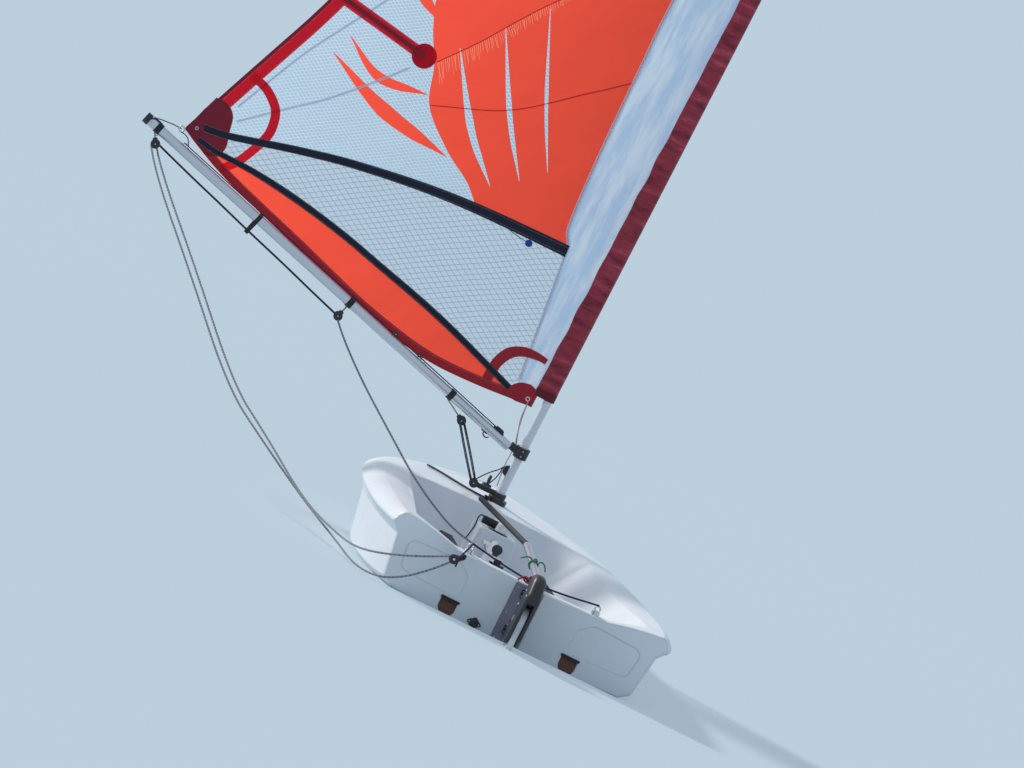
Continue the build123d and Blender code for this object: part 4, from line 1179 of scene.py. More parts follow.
BRIDLE_ARCH = (
    (-0.235, -1.346, 0.246), (-0.205, -1.350, 0.242), (-0.120, -1.353, 0.228), (0.0, -1.355, 0.217),
    (0.120, -1.353, 0.228), (0.205, -1.350, 0.242), (0.235, -1.346, 0.246),
)
BRIDLE_LEG = (
    (-0.236, -1.350, 0.243), (-0.240, -1.372, 0.236), (-0.250, -1.398, 0.214),
    TRAVELLER + Vector((0.008, 0.006, 0.010)),
)
VANG_TAIL = (
    VANG_LOWER + AFT * 0.010, rig_at(0.105, 0.045, 0.010), rig_at(0.075, 0.085, 0.020), rig_at(0.044, 0.112, 0.016),
    rig_at(0.038, 0.125, 0.004), rig_at(0.037, 0.100, -0.008), rig_at(0.042, 0.060, -0.018),
    rig_at(0.058, 0.028, -0.026),
)
TACK_RING = (0.067, 0.392)
DOWNHAUL = (
    (
        sail_at(*TACK_RING, 0.004), rig_at(0.062, 0.340, -0.008), rig_at(0.050, 0.270, -0.014),
        rig_at(0.034, 0.222, -0.030),
    ),
    (
        sail_at(*TACK_RING, -0.004), rig_at(0.066, 0.330, -0.016), rig_at(0.046, 0.262, -0.022),
        rig_at(0.028, 0.215, -0.034),
    ),
    (
        rig_at(0.030, 0.222, -0.032), rig_at(0.030, 0.190, -0.034), rig_at(0.033, 0.160, -0.020),
        rig_at(0.036, 0.128, -0.004), rig_at(0.034, 0.095, 0.008), rig_at(0.028, 0.045, 0.016),
    ),
)
CLEW_EYE = rig_at(1.713, 0.738)
TOP_LINE = 0.0245
OUTHAUL = (
    (
        CLEW_EYE, boom_at(1.772, -0.050), boom_at(1.806, -0.037), boom_at(1.838, -TOP_LINE),
        boom_at(1.852, -0.010, 0.0235),
    ),
    (CLEW_EYE + Vector((0, 0, -0.012)), boom_at(1.700, -0.060), boom_at(1.680, -TOP_LINE)),
    (boom_at(1.700, -TOP_LINE), boom_at(1.200, -TOP_LINE), boom_at(0.620, -TOP_LINE)),
)
OUTHAUL_PURCHASE = [
    (boom_at(0.612, -TOP_LINE, out), boom_at(0.350, -0.0262, out * 1.25), boom_at(reach, -TOP_LINE, out))
    for out, reach in ((0.004, 0.080), (-0.004, 0.090))
]
# Doubled line lying on the foredeck: forward, across and clear of the deck
DECK_LINE = (
    (-0.050, 0.655, 0.006), (-0.100, 0.678, 0.006), (-0.162, 0.745, 0.007), (-0.222, 0.838, 0.008),
    (-0.266, 0.906, 0.006), (-0.282, 0.914, 0.006), (-0.284, 0.896, 0.006), (-0.236, 0.828, 0.008),
    (-0.176, 0.733, 0.007), (-0.107, 0.663, 0.006), (-0.052, 0.636, 0.006),
)
vang_lines = []
for aft_step, out_step in ((-0.011, -0.003), (-0.006, 0.004), (0.006, -0.004), (0.011, 0.003)):
    shift = AFT * aft_step + WINDWARD * out_step
    middle = (VANG_UPPER + VANG_LOWER) / 2 + shift * 1.5
    vang_lines.append((VANG_UPPER + shift * 1.1, middle, VANG_LOWER + shift * 1.1))
deck_hitch = wraps(on_deck(-0.054, 0.6455, 0.0075), (1, 0.2, -0.1), 0.0088, 3, 0.0056)

LINES = (
    # name, routes, radius, finish, body
    ("bridle", [BRIDLE_ARCH, BRIDLE_LEG], 0.0032, NAVY_ROPE, "hull"),
    ("vang_purchase", vang_lines, 0.0023, DARK_ROPE, "rig"),
    ("vang_tail", [VANG_TAIL], 0.0023, DARK_ROPE, "rig"),
    ("downhaul", DOWNHAUL, 0.0022, RED_ROPE, "rig"),
    ("outhaul", OUTHAUL, 0.0020, NAVY_ROPE, "rig"),
    ("outhaul_purchase", OUTHAUL_PURCHASE, 0.0018, DARK_ROPE, "rig"),
    ("deck_line", [[on_deck(*spot) for spot in DECK_LINE], deck_hitch], 0.0028, DARK_ROPE, "hull"),
)
for line in LINES:
    rope(*line)


# Small hard pieces
def placed(origin, ahead, up):
    """The place of a shape: its origin, where its x axis points and where its z axis points."""
    z = Vector(up).normalized()
    x = Vector(ahead) - z * Vector(ahead).dot(z)
    x.normalize()
    return Matrix.Translation(Vector(origin)) @ Matrix((x, z.cross(x), z)).transposed().to_4x4()


def moved(x, y=0.0, z=0.0):
    return Matrix.Translation((x, y, z))


def turned(profile, count=24):
    """A closed turned shape round z; the profile gives radius and height from its foot to its top."""
    vertices, rings, faces = [], [], []
    for radius, height in profile:
        places = 1 if radius < 1e-6 else count
        rings.append(list(range(len(vertices), len(vertices) + places)))
        turns = [2 * pi * k / count for k in range(places)]
        vertices += [Vector((radius * cos(turn), radius * sin(turn), height)) for turn in turns]
    for low, high in zip(rings, rings[1:]):
        for k in range(count):
            corners = (low[k % len(low)], low[(k + 1) % len(low)], high[(k + 1) % len(high)], high[k % len(high)])
            face = tuple(dict.fromkeys(corners))
            if len(face) > 2:
                faces.append(face)
    return vertices, faces


def rod(radius, low, high, count):
    return turned(((0, low), (radius, low), (radius, high), (0, high)), count)


def shrunk(outline, distance):
    """A closed outline, anticlockwise, moved inwards by one distance or by one for each point."""
    outline = np.array(outline, float)
    along = np.roll(outline, -1, axis=0) - np.roll(outline, 1, axis=0)
    along /= np.linalg.norm(along, axis=1)[:, None]
    return outline + left_of(along) * distance


def slab(outline, low, high, edge):
    """A plate with softened rims, between two heights; the outline runs anticlockwise."""
    rims = ((edge, low), (edge * 0.3, low + edge * 0.3), (0, low + edge))
    rims += ((0, high - edge), (edge * 0.3, high - edge * 0.3), (edge, high))
    vertices = [Vector((x, y, height)) for distance, height in rims for x, y in shrunk(outline, distance)]
    return vertices, ring_faces(len(rims), len(outline))


def solid(name, parts, finishes):
    """One piece made of closed shapes: each part gives its shape, its place and the number of its finish."""
    vertices, faces, marks = [], [], []
    for (points, sides, *_), place, mark in parts:
        start = len(vertices)
        vertices += [place @ Vector(p) for p in points]
        faces += [tuple(start + k for k in side) for side in sides]
        marks += [mark] * len(sides)
    piece = new_piece(name, vertices, faces, finishes, None, marks)
    mend(piece, MERGE)
    piece.data.set_sharp_from_angle(angle=SHARP)
    return piece


def rounded_box(wide, high, radius):
    """The outline of a rectangle with round corners, anticlockwise."""
    outline = []
    for x, y, first in ((1, 1, 0), (-1, 1, 90), (-1, -1, 180), (1, -1, 270)):
        for k in range(6):
            turn = radians(first + 18 * k)
            outline.append((x * (wide / 2 - radius) + radius * cos(turn), y * (high / 2 - radius) + radius * sin(turn)))
    return np.array(outline)


def arc(radius, start, stop, count):
    return [(radius * cos(t), radius * sin(t)) for t in np.linspace(start, stop, count)]


def oval(reach, near_radius, far_radius):
    """The outline round two circles, the far one out along x, like a cheek of a block."""
    far = [(reach + x, y) for x, y in arc(far_radius, -pi / 2, pi / 2, 12)]
    return far + arc(near_radius, pi / 2, 3 * pi / 2, 12)


def as_plain_mesh(piece):
    """Leaves the result of a piece's modifiers as its mesh."""
    bpy.context.view_layer.update()
    ready = bpy.data.meshes.new_from_object(piece.evaluated_get(bpy.context.evaluated_depsgraph_get()))
    piece.modifiers.clear()
    piece.data = ready


def cut_out(piece, cutters):
    """Cuts shapes out of a piece."""
    for cutter in cutters:
        cut = piece.modifiers.new("cut", "BOOLEAN")
        cut.object, cut.operation, cut.solver = cutter, "DIFFERENCE", "EXACT"
    as_plain_mesh(piece)
    for cutter in cutters:
        bpy.data.objects.remove(cutter)


# Rudder head: rounded black moulding round the blade, with the bores and the slot of the part
HEAD_HALF = 0.024
HEAD_PROFILE = (
    # forward, up, rounding towards its sides, rounding of the corner
    ((-1.437, 0.013, 0.006), 0.014),
    ((-1.539, 0.013, 0.008), 0.014),
    ((-1.571, 0.045, 0.010), 0.014),
    ((-1.571, 0.187, 0.011), 0.014),
    ((-1.517, 0.259, 0.021), 0.030),
    ((-1.437, 0.259, 0.021), 0.030),
)
TILLER_HEEL, TILLER_LINE = Vector((0, -1.513, 0.233)), Vector((0, 0.740, 0.055)).normalized()
AS_BUILT = Matrix.Identity(4)


def rudder_head_shape():
    """The head's profile with rounded corners, swept across and drawn in towards both sides."""
    corners = [np.array(corner) for corner, _ in HEAD_PROFILE]
    rim = []
    for k, (corner, (_, soft)) in enumerate(zip(corners, HEAD_PROFILE)):
        start, stop = (
            corner + (other - corner) * soft / np.linalg.norm((other - corner)[:2])
            for other in (corners[k - 1], corners[(k + 1) % len(corners)])
        )
        rim += [start * (1 - t) ** 2 + corner * 2 * t * (1 - t) + stop * t * t for t in np.linspace(0, 1, 9)]
    rim = np.array(rim)[::-1]
    vertices = []
    rows = [-HEAD_HALF * cos(pi * k / 20) for k in range(21)]
    for x in rows:
        past = [max(0.0, abs(x) - (HEAD_HALF - r)) for r in rim[:, 2]]
        sunk = np.array([r - sqrt(max(0.0, r * r - p * p)) for r, p in zip(rim[:, 2], past)])
        vertices += [Vector((x, y, z)) for y, z in shrunk(rim[:, :2], sunk[:, None])]
    return vertices, ring_faces(len(rows), len(rim))


rudder_head = solid("rudder_head_moulding", [(rudder_head_shape(), AS_BUILT, 0)], [BLACK_PLASTIC])
PIVOT_Y, PIVOT_Z = -1.505, 0.097
SLOT_REACH, SLOT_HALF, TILLER_BORE = 0.054, 0.0125, 0.01303
slot_arc = [(PIVOT_Y + y, PIVOT_Z + z) for y, z in arc(SLOT_REACH, 0, pi / 2, 16)]
slot_outline = [(-1.451, -0.060), *slot_arc, (PIVOT_Y, 0.163), (-1.660, 0.163), (-1.660, -0.060)]
slot_shape = slab(slot_outline, -SLOT_HALF, SLOT_HALF, 0.0001)
slot_cut = solid("slot_cut", [(slot_shape, placed((0, 0, 0), (0, 1, 0), (1, 0, 0)), 0)], [BLACK_PLASTIC])
tiller_shape = rod(TILLER_BORE, 0, 0.2, 48)
tiller_cut = solid("tiller_cut", [(tiller_shape, placed(TILLER_HEEL, (1, 0, 0), TILLER_LINE), 0)], [BLACK_PLASTIC])
cut_out(rudder_head, [slot_cut, tiller_cut])
attach(rudder_head, "rudder", "rudder_head")

# Knuckles of the rudder head on its pin, just above each gudgeon
knuckle = slab([(-0.016, -0.012), *arc(0.012, -pi / 2, pi / 2, 15), (-0.016, 0.012)], 0, 0.0200, 0.0012)
knuckles = [(knuckle, placed((0, -1.421, height), (0, 1, 0), (0, 0, 1)), 0) for height in (0.0506, 0.1806)]
attach(solid("rudder_knuckles", knuckles, [BLACK_PLASTIC]), "rudder")

# Safety line on the pin, and the lashing on the tiller
rope("pin_safety_line", [
    (
        (-0.010, -1.432, 0.216), (-0.022, -1.420, 0.226), (-0.036, -1.404, 0.232), (-0.040, -1.396, 0.222),
        (-0.030, -1.398, 0.212), (-0.014, -1.408, 0.213), (0.004, -1.412, 0.213), (0.008, -1.424, 0.214),
    ),
    ((-0.036, -1.404, 0.229), (-0.048, -1.398, 0.222), (-0.054, -1.396, 0.208)),
], 0.0028, SCARLET_ROPE, "rudder")
LASHING = Vector((0, -1.175, 0.258))
LASHING_ENDS = (
    ((-0.012, 0.030, 0.020), (-0.030, 0.034, 0.018), (-0.046, 0.026, 0.004)),
    ((0.010, -0.004, 0.020), (0.026, 0.002, 0.024), (0.040, 0.010, 0.012), (0.046, 0.012, -0.002)),
    ((-0.006, 0.010, 0.0155), (-0.004, 0.016, 0.024), (0.006, 0.018, 0.022), (0.008, 0.010, 0.0155)),
)
lashing = wraps(LASHING, TILLER_LINE, 0.0154, 6, 0.0042, 1.2)
first_end, second_end, bow = ([LASHING + Vector(p) for p in end] for end in LASHING_ENDS)
lashing_routes = [lashing, (lashing[-1], *first_end), (lashing[0], *second_end), bow]
rope("tiller_lashing", lashing_routes, 0.0024, GREEN_ROPE, "rudder")


def block(place, cheek, inner, outer, edge, sheave, sheave_sides, pin, pin_sides):
    """Parts of a pulley block: two cheeks, a sheave and the pin that it turns on."""
    return [
        (slab(cheek, -outer, -inner, edge), place, 0),
        (slab(cheek, inner, outer, edge), place, 0),
        (turned(sheave, sheave_sides), place, 1),
        (turned(pin, pin_sides), place, 2),
    ]


def both_ways(*profile):
    """A turned profile that is the same above and below its middle."""
    return (*((radius, -height) for radius, height in profile), *profile[::-1])


# Traveller block on the bridle: two cheeks, a sheave on its pin, and the knot that ties it
TRAVELLER_PLACE = placed(TRAVELLER + Vector((-0.006, -0.004, -0.001)), (0.80, 0.30, 0.50), (0, 1, 0))
traveller_sheave = both_ways((0, 0.0042), (0.0128, 0.0042), (0.0128, 0.0036), (0.0092, 0.0012))
traveller_pin = both_ways((0, 0.0098), (0.0034, 0.0098), (0.0042, 0.0090))
traveller_cheek = oval(0.021, 0.0165, 0.0075)
traveller = solid("traveller_block", [
    *block(TRAVELLER_PLACE, traveller_cheek, 0.0052, 0.0086, 0.0010, traveller_sheave, 28, traveller_pin, 16),
    (rod(0.0030, -0.0086, 0.0086, 12), TRAVELLER_PLACE @ moved(0.021), 2),
], [BLACK_PLASTIC, GREY_PLASTIC, STEEL])
attach(traveller, "hull")
knot_foot = TRAVELLER_PLACE @ Vector((0.023, 0, 0))
rope("bridle_knot", [
    wraps(knot_foot + Vector((0.003, 0.006, 0.001)), (0.5, 0.7, 0.5), 0.0062, 3, 0.0050, 0.4),
    (knot_foot, knot_foot + Vector((-0.004, 0.016, -0.012)), knot_foot + Vector((-0.002, 0.020, -0.034))),
], 0.0030, NAVY_ROPE, "hull")

# Brown flaps that close the scuppers
FLAP = plastic("flap_rubber", (0.150, 0.052, 0.026), 0.5, 0.6, rounding=0.001, worn=(0.27, 0.11, 0.06), scale=70.0)
FLAP_RIBS = (
    (-0.018, 0.002, 0.030), (-0.009, -0.001, 0.040), (0, -0.002, 0.044), (0.009, -0.001, 0.040), (0.018, 0.002, 0.030),
)
flap = [*arc(0.0285, pi, 2 * pi, 25), (0.0285, 0.0235), (-0.0285, 0.0235)]
for side, label in ((-1, "port"), (1, "starboard")):
    face = placed((side * 0.222, -1.365, 0.021), (1, 0, 0), (0, -1, 0.10))
    parts = [(slab(flap, 0, 0.003, 0.0006), face, 0)]
    for x, y, length in FLAP_RIBS:
        parts.append((slab(rounded_box(0.0024, length, 0.001), 0.0026, 0.0040, 0.0004), face @ moved(x, y), 0))
    attach(solid(f"scupper_flap_{label}", parts, [FLAP]), "hull")

# Tail line of the board's grip
rope("board_tail", [(
    (-0.070, 0.186, 0.262), (-0.086, 0.165, 0.268), (-0.097, 0.138, 0.255), (-0.094, 0.124, 0.222),
    (-0.100, 0.125, 0.187), (-0.106, 0.126, 0.160),
)], 0.0026, DARK_ROPE, "board")

# Diamond flange of the drain bung, with a finger grip across its plug
quarter = ((0.0255, 0), (0.0240, 0.0030), (0.0030, 0.0185), (0, 0.0195))
upper_half = (*quarter, *((-x, y) for x, y in quarter[2::-1]))
diamond = (*upper_half, *((-x, -y) for x, y in upper_half[1:-1]))
bung_face = placed((-0.118, -1.3752, 0.015), (1, 0, 0), (0, -1, 0))
bung = solid("bung_flange", [
    (slab(diamond, -0.0004, 0.0040, 0.0008), bung_face, 0),
    (turned(((0, 0), (0.0115, 0), (0.0115, 0.0072), (0.0095, 0.0086), (0, 0.0086)), 28), bung_face, 0),
    (slab(rounded_box(0.0036, 0.017, 0.0016), 0.0080, 0.0130, 0.0008), bung_face, 0),
], [BLACK_PLASTIC])
attach(bung, "hull")


# Spar fittings
BOOM_TOP = -0.0190
BOOM_UP = boom_at(0, -1) - boom_at(0, 0)


def small_block(reach, below, ahead):
    """Parts of a small pulley block on the boom."""
    place = placed(boom_at(reach, below), ahead, WINDWARD) @ Matrix.Scale(0.9, 4)
    groove = both_ways((0, 0.0028), (0.0078, 0.0028), (0.0078, 0.0024), (0.0060, 0.0008))
    pin = both_ways((0, 0.0062), (0.0020, 0.0062), (0.0026, 0.0056))
    return [
        *block(place, oval(0.013, 0.0095, 0.0045), 0.0034, 0.0054, 0.0005, groove, 20, pin, 12),
        (rod(0.0018, -0.0054, 0.0054, 10), place @ moved(0.013), 2),
    ]


def saddle(reach, below):
    """Parts of a steel eye saddle riveted to the boom: a hoop on two feet."""
    place = placed(boom_at(reach, below), BOOM_LINE, BOOM_UP if below < 0 else -BOOM_UP)
    hoop = [place @ Vector((x, 0, z)) for x, z in arc(0.009, 0, pi, 15)]
    foot = slab(rounded_box(0.011, 0.010, 0.004), -0.0006, 0.0012, 0.0003)
    return [(tube(hoop, 0.0016), AS_BUILT, 2), *((foot, place @ moved(x), 2) for x in (-0.013, 0.013))]


def jaws(place, wall, half, rise, teeth, inner, height, tooth, top):
    """Parts of a cleat's two walls, with the teeth that narrow the gap between them."""
    parts = []
    for side in (-1, 1):
        stand = place @ moved(0, side * 0.0048, rise) @ Matrix.Rotation(pi / 2, 4, "X")
        parts.append((slab(wall, -half, half, 0.0005), stand, 0))
        for x in teeth:
            spot = place @ moved(x, side * inner, height) @ Matrix.Rotation(side * 0.6, 4, "Z")
            parts.append((slab(rounded_box(*tooth, 0.0004), -0.0045, top, 0.0002), spot, 0))
    return parts


# Clam cleat for the outhaul on top of the boom, and the hook under it for the vang's spare line, by the gooseneck
CLAM_WALL = ((-0.021, 0.0), (0.021, 0.0), (0.017, 0.0085), (0.010, 0.0105), (-0.014, 0.0105), (-0.019, 0.0080))
HOOK_RUN = ((0.110, 0.0185), (0.110, 0.0260), (0.103, 0.0330), (0.092, 0.0345), (0.084, 0.0290), (0.083, 0.0235))
end_place = placed(boom_at(1.826, BOOM_TOP), BOOM_LINE, BOOM_UP)
clam_place = placed(boom_at(0.070, BOOM_TOP), BOOM_LINE, BOOM_UP)
hook_place = placed(boom_at(0.110, 0.0188), BOOM_LINE, -BOOM_UP)
clam_teeth = [-0.012 + 0.005 * k for k in range(6)]
boom_fittings = solid("boom_fittings", [
    *small_block(0.616, -0.0285, BOOM_LINE),
    *small_block(0.494, -0.0290, -BOOM_LINE),
    *saddle(0.470, BOOM_TOP),
    *saddle(1.690, BOOM_TOP),
    *saddle(1.800, -BOOM_TOP),
    (slab(rounded_box(0.040, 0.012, 0.005), -0.0005, 0.0045, 0.0008), end_place, 0),
    (slab(rounded_box(0.052, 0.017, 0.006), -0.0008, 0.0030, 0.0008), clam_place, 0),
    *jaws(clam_place, CLAM_WALL, 0.0020, 0.0026, clam_teeth, 0.0026, 0.0075, (0.0030, 0.0011), 0.0020),
    (tube(rope_path([boom_at(*spot) for spot in HOOK_RUN]), 0.0026), AS_BUILT, 0),
    (slab(rounded_box(0.030, 0.014, 0.005), -0.0006, 0.0028, 0.0006), hook_place, 0),
], [BLACK_PLASTIC, GREY_PLASTIC, STEEL])
attach(boom_fittings, "rig")

# Cleat on the mast: a base, two walls with a narrowing gap, and teeth
MAST_CLEAT_WALL = (
    (-0.020, 0.0), (0.020, 0.0), (0.016, 0.0095), (0.010, 0.0118), (-0.010, 0.0118), (-0.017, 0.0090),
)
cleat_face = placed(rig_at(0.0170, 0.114, 0), rig_at(0, 1) - rig_at(0, 0), AFT)
mast_teeth = [-0.013 + 0.0045 * k for k in range(7)]
mast_cleat = solid("mast_cleat_jaws", [
    (slab(rounded_box(0.044, 0.0140, 0.005), 0.0002, 0.0040, 0.0006), cleat_face, 0),
    *jaws(cleat_face, MAST_CLEAT_WALL, 0.0021, 0.0034, mast_teeth, 0.0025, 0.0090, (0.0028, 0.0010), 0.0030),
], [BLACK_PLASTIC])
attach(mast_cleat, "rig", "mast_cleat")


def grommet(aft, height, size):
    """A pressed ring through the cloth of the sail: its profile turned round the hole."""
    centre = sail_at(aft, height)
    normal = (sail_at(aft, height, 0.01) - centre).normalized()
    turns, sides = 28, 12
    section = [(size * 0.72 + x * 0.28, z * 0.30) for x, z in arc(size, 0, 2 * pi, sides + 1)][:-1]
    vertices = [
        Vector((r * cos(2 * pi * k / turns), r * sin(2 * pi * k / turns), z)) for k in range(turns) for r, z in section
    ]
    return ((vertices, ring_faces(turns, sides, True)), placed(centre, MAST, normal), 0)


rings = [grommet(TACK_RING[0] + 0.006, TACK_RING[1] + 0.006, 0.0105), grommet(1.664, 0.764, 0.0080)]
attach(solid("sail_rings", rings, [STEEL]), "rig")


# Screws and stitches, by Geometry Nodes
def tree_tools(name, inputs):
    """A Geometry Nodes tree with named inputs, a short way to add its nodes, and one to end it."""
    tree = bpy.data.node_groups.new(name, "GeometryNodeTree")
    tree.interface.new_socket("Geometry", in_out="INPUT", socket_type="NodeSocketGeometry")
    for label, value in inputs.items():
        socket = tree.interface.new_socket(label, in_out="INPUT", socket_type="NodeSocketFloat")
        socket.default_value = value
    tree.interface.new_socket("Geometry", in_out="OUTPUT", socket_type="NodeSocketGeometry")
    given, result = tree.nodes.new("NodeGroupInput"), tree.nodes.new("NodeGroupOutput")

    def step(kind, links=(), **settings):
        node = tree.nodes.new(kind)
        for key, value in settings.items():
            setattr(node, key, value)
        for socket, source in dict(links).items():
            feed(tree, node.inputs[socket], source)
        return node.outputs

    def end(laid, finish):
        real = step("GeometryNodeRealizeInstances", {"Geometry": laid[0]})
        painted = step("GeometryNodeSetMaterial", {"Geometry": real[0], "Material": finish})
        tree.links.new(painted[0], result.inputs[0])
        return tree

    return given.outputs, step, end


def grow(name, places, tree, values, edges=(), **fields):
    """Runs a tree on a mesh of loose points or lines, with values stored on its points."""
    mesh = bpy.data.meshes.new(name)
    mesh.from_pydata([tuple(p) for p in places], list(edges), [])
    for field, found in fields.items():
        vector = len(np.shape(found)) == 2
        store = mesh.attributes.new(field, "FLOAT_VECTOR" if vector else "FLOAT", "POINT")
        store.data.foreach_set("vector" if vector else "value", np.array(found, float).ravel())
    piece = bpy.data.objects.new(name, mesh)
    scene.collection.objects.link(piece)
    made = piece.modifiers.new("made", "NODES")
    made.node_group = tree
    for item in tree.interface.items_tree:
        if item.in_out == "INPUT" and item.name in values:
            made[item.identifier] = values[item.name]
    as_plain_mesh(piece)
    return piece


def screw_tree(finish):
    """Pan-head screws with a round socket, one on each point, along its axis and at its size."""
    given, step, end = tree_tools("screw_heads", {"Head radius": 0.004, "Socket share": 0.5, "Socket depth": 0.3})

    def times(socket, factor):
        return step("ShaderNodeMath", {0: socket, 1: factor}, operation="MULTIPLY")[0]

    radius = given["Head radius"]
    form = {"Radius Bottom": radius, "Radius Top": times(radius, 0.7), "Depth": times(radius, 0.5)}
    head = step("GeometryNodeMeshCone", {"Vertices": 14, "Side Segments": 1, **form})
    flat = {"Mesh": head["Mesh"], "Selection": head["Top"], "Offset Scale": 0.0}
    rim = step("GeometryNodeExtrudeMesh", flat, mode="FACES")
    narrow = {"Geometry": rim["Mesh"], "Selection": rim["Top"], "Scale": given["Socket share"]}
    small = step("GeometryNodeScaleElements", narrow)
    depth = times(times(radius, given["Socket depth"]), -1.0)
    deep = {"Mesh": small[0], "Selection": rim["Top"], "Offset Scale": depth}
    sink = step("GeometryNodeExtrudeMesh", deep, mode="FACES")
    axis = step("GeometryNodeInputNamedAttribute", {"Name": "axis"}, data_type="FLOAT_VECTOR")
    size = step("GeometryNodeInputNamedAttribute", {"Name": "size"}, data_type="FLOAT")
    turn = step("FunctionNodeAlignRotationToVector", {"Vector": axis[0]}, axis="Z")
    points = step("GeometryNodeMeshToPoints", {"Mesh": given["Geometry"]})
    lay = {"Points": points[0], "Instance": sink["Mesh"], "Rotation": turn[0], "Scale": size[0]}
    return end(step("GeometryNodeInstanceOnPoints", lay), finish)


def face_screws(places, axis, size):
    return [(Vector(p), Vector(axis).normalized(), size) for p in places]


AFTWARDS, UPWARDS = (0, -1, 0), (0, 0, 1)
STRAP_ENDS = ((0.207, 0.0797, (0.013, 0.032)), (-1.190, 0.0793, (-0.014, 0.043)))  # forward, up, tilt of the floor
HEAD_BOLTS = ((-1.4475, 0.065), (-1.4475, 0.140), (-1.4840, 0.196), (-1.5390, 0.182))
hull_screws = [
    # transom plate, gudgeons, bung flange, sheet post and board frame
    *face_screws([(x, -1.3760, z) for x in (-0.038, 0.038) for z in (0.003, 0.095, 0.187)], AFTWARDS, 1.0),
    *face_screws([(x, -1.3799, z) for x in (-0.0165, 0.0165) for z in (0.033, 0.049, 0.163, 0.179)], AFTWARDS, 0.75),
    *face_screws([(-0.118 + x, -1.3791, 0.015) for x in (-0.0175, 0.0175)], AFTWARDS, 0.6),
    *face_screws([(0.022 * cos(t), -0.225 + 0.022 * sin(t), 0.1499) for t in (0.9, 2.4, 3.9, 5.4)], UPWARDS, 0.8),
    *face_screws([(x, y, 0.2339) for x in (-0.0275, 0.0275) for y in (0.150, 0.280, 0.410)], UPWARDS, 0.7),
]
rudder_screws, rig_screws = [], []
for side in (-1, 1):
    for y, z, tilt in STRAP_ENDS:
        hull_screws += face_screws([(side * 0.190 + x, y, z) for x in (-0.013, 0.013)], (0, *tilt), 1.6)
    rudder_screws += face_screws([(side * 0.0238, y, z) for y, z in HEAD_BOLTS], (side, 0, 0), 0.9)
for out in (1, -1):
    axis = WINDWARD * out
    rig_screws += face_screws([rig_at(0.0, height, out * 0.0278) for height in (0.190, 0.210)], axis, 0.8)
    rig_screws += face_screws([boom_at(0.014, 0, out * 0.0189), boom_at(1.842, 0, out * 0.0224)], axis, 0.7)
    blocks = (END_BLOCK, MID_BLOCK, VANG_UPPER, VANG_LOWER)
    rig_screws += face_screws([centre + axis * 0.0093 for centre in blocks], axis, 0.75)
rig_screws += face_screws([rig_at(0.0211, 0.0955, 0), rig_at(0.0211, 0.1325, 0)], AFT, 0.45)
HEADS = screw_tree(STEEL)
SCREW = {"Head radius": 0.0042, "Socket share": 0.52, "Socket depth": 0.35}
for body, screws in (("hull", hull_screws), ("rudder", rudder_screws), ("rig", rig_screws)):
    places, axes, sizes = zip(*screws)
    attach(grow(f"{body}_screws", places, HEADS, SCREW, axis=axes, size=sizes), body)


def stitch_tree(finish):
    """Stitches along lines: each lies on the cloth, straight or turned to and fro for a zigzag."""
    given, step, end = tree_tools("stitches", {"Pitch": 0.006, "Length": 0.004, "Thread": 0.0007, "Turn": 0.0})
    line = step("GeometryNodeMeshToCurve", {"Mesh": given["Geometry"]})
    even = step("GeometryNodeResampleCurve", {"Curve": line[0], "Length": given["Pitch"]}, mode="LENGTH")
    out = step("GeometryNodeInputNamedAttribute", {"Name": "out"}, data_type="FLOAT_VECTOR")
    facing = {"Primary Axis": out[0], "Secondary Axis": step("GeometryNodeInputTangent")[0]}
    lay = step("FunctionNodeAxesToRotation", facing, primary_axis="Z", secondary_axis="X")
    odd = step("ShaderNodeMath", {0: step("GeometryNodeInputIndex")[0], 1: 2.0}, operation="MODULO")
    sign = step("ShaderNodeMath", {0: odd[0], 1: 2.0, 2: -1.0}, operation="MULTIPLY_ADD")
    angle = step("ShaderNodeMath", {0: sign[0], 1: given["Turn"]}, operation="MULTIPLY")
    swing = {"Rotation": lay[0], "Rotate By": step("ShaderNodeCombineXYZ", {"Z": angle[0]})[0]}
    turned_lay = step("FunctionNodeRotateRotation", swing, rotation_space="LOCAL")
    bead = step("GeometryNodeMeshUVSphere", {"Segments": 5, "Rings": 4, "Radius": 0.5})
    size = step("ShaderNodeCombineXYZ", {"X": given["Length"], "Y": given["Thread"], "Z": given["Thread"]})
    laid = {"Points": even[0], "Instance": bead["Mesh"], "Rotation": turned_lay[0], "Scale": size[0]}
    return end(step("GeometryNodeInstanceOnPoints", laid), finish)


def thread(name, color, fleck):
    """Twisted sewing thread: a fine speckle over its colour."""
    material, tree, shader = new_material(name, color, 0.6, Specular_IOR_Level=0.3)
    speckle = noise(tree, own_place(tree), Scale=3500.0, Detail=1.0)
    tree.links.new(mix_colors(tree, speckle, color, fleck), shader.inputs["Base Color"])
    return material


def sew(name, lines, finish, slot, **values):
    """Stitch lines given as places and outward directions, as one piece on the rig."""
    places, out, edges = [], [], []
    for line in lines:
        start = len(places)
        places += [p for p, _ in line]
        out += [o for _, o in line]
        edges += [(start + k, start + k + 1) for k in range(len(line) - 1)]
    return attach(grow(name, places, stitch_tree(finish), values, edges, out=out), "rig")


def on_sail(line, proud):
    """The line on both faces of the sail, with the outward direction at each point."""
    lines = []
    for side in (1, -1):
        found = []
        for a, h in smooth_line(line):
            centre = sail_at(a, h)
            outward = (sail_at(a, h, side * 0.01) - centre).normalized()
            found.append((centre + outward * proud, outward))
        lines.append(found)
    return lines


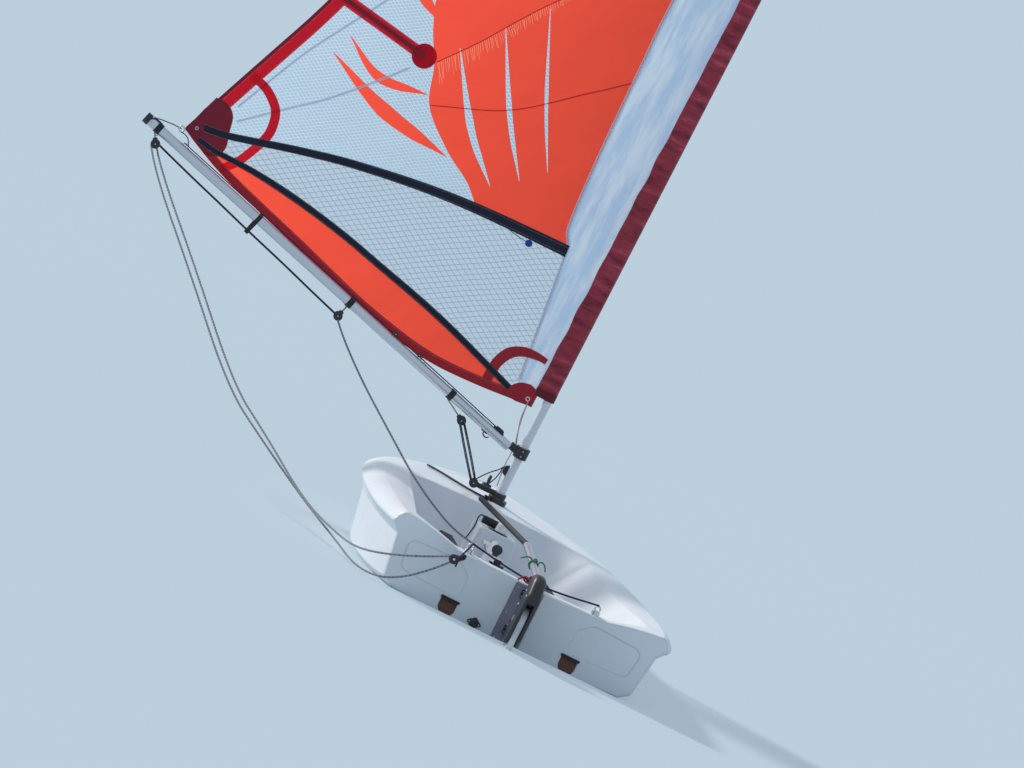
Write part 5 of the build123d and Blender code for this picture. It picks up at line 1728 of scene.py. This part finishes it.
PALE_THREAD = thread("pale_thread", (0.80, 0.82, 0.84), (0.60, 0.62, 0.66))
RED_THREAD = thread("red_thread", (0.62, 0.05, 0.06), (0.40, 0.02, 0.03))
top_run, low_run, foot_run = (smooth_line(line, 0.05) for line in (BATTEN_TOP[:-1], BATTEN_LOW, FOOT_CURVE))
SEWN = (
    # line, distance of the stitches from it, how proud
    (top_run, 0.0135, 0.0026),
    (top_run, -0.0135, 0.0026),
    (low_run, 0.0100, 0.0024),
    (low_run, -0.0100, 0.0024),
    (LEECH_LINE, 0.053, 0.0009),
    (LEECH_LINE, 0.014, 0.0009),
    (foot_run, -0.030, 0.0012),
)
straight, zigzag = [], []
for line, distance, proud in SEWN:
    straight += on_sail(inset(line, distance), proud)
for outer, inner, width, _ in POCKETS:
    for side in (-1, 1):
        straight += on_sail(inset(np.array((outer, inner)), side * (width / 2 - 0.004)), 0.0014)
for line in (*PALE_SEAMS, *ORANGE_SEAMS):
    zigzag += on_sail(line, 0.0010)
film_line = on_sail(FILM_EDGE[1:-1], 0.0013)
FINE, STRONG = 0.0008, 0.0012
sail_seams = [
    sew("sail_stitches", straight, PALE_THREAD, "sail_cloth", Pitch=0.0075, Length=0.0050, Thread=FINE, Turn=0.0),
    sew("seam_stitches", zigzag, RED_THREAD, "sail_cloth", Pitch=0.0060, Length=0.0064, Thread=FINE, Turn=0.6),
    sew("film_stitches", film_line, RED_THREAD, "sail_cloth", Pitch=0.0080, Length=0.0125, Thread=STRONG, Turn=0.75),
]
SEAM_TURN = 0.16
seam_heights = np.arange(SLEEVE_FOOT + 0.02, SLEEVE_HEAD - 0.02, 0.03)
sleeve_lines = [
    [(on_sleeve(height, side * SEAM_TURN, 0.0) - WINDWARD * side * 0.0007, -WINDWARD * side) for height in seam_heights]
    for side in (1, -1)
]
hem_lines = [
    [
        (on_sleeve(height, turn, 0.0014), (AFT * cos(turn) - WINDWARD * sin(turn)).normalized())
        for turn in np.linspace(0.12, 2 * pi - 0.12, 40)
    ]
    for height in (SLEEVE_FOOT + 0.030, SLEEVE_HEAD - 0.025)
]
sleeve_seams = [
    sew(name, lines, RED_THREAD, "sleeve_cloth", Pitch=pitch, Length=length, Thread=FINE, Turn=0.0)
    for name, lines, pitch, length in (
        ("sleeve_stitches", sleeve_lines, 0.0075, 0.0052),
        ("hem_stitches", hem_lines, 0.0060, 0.0042),
    )
]
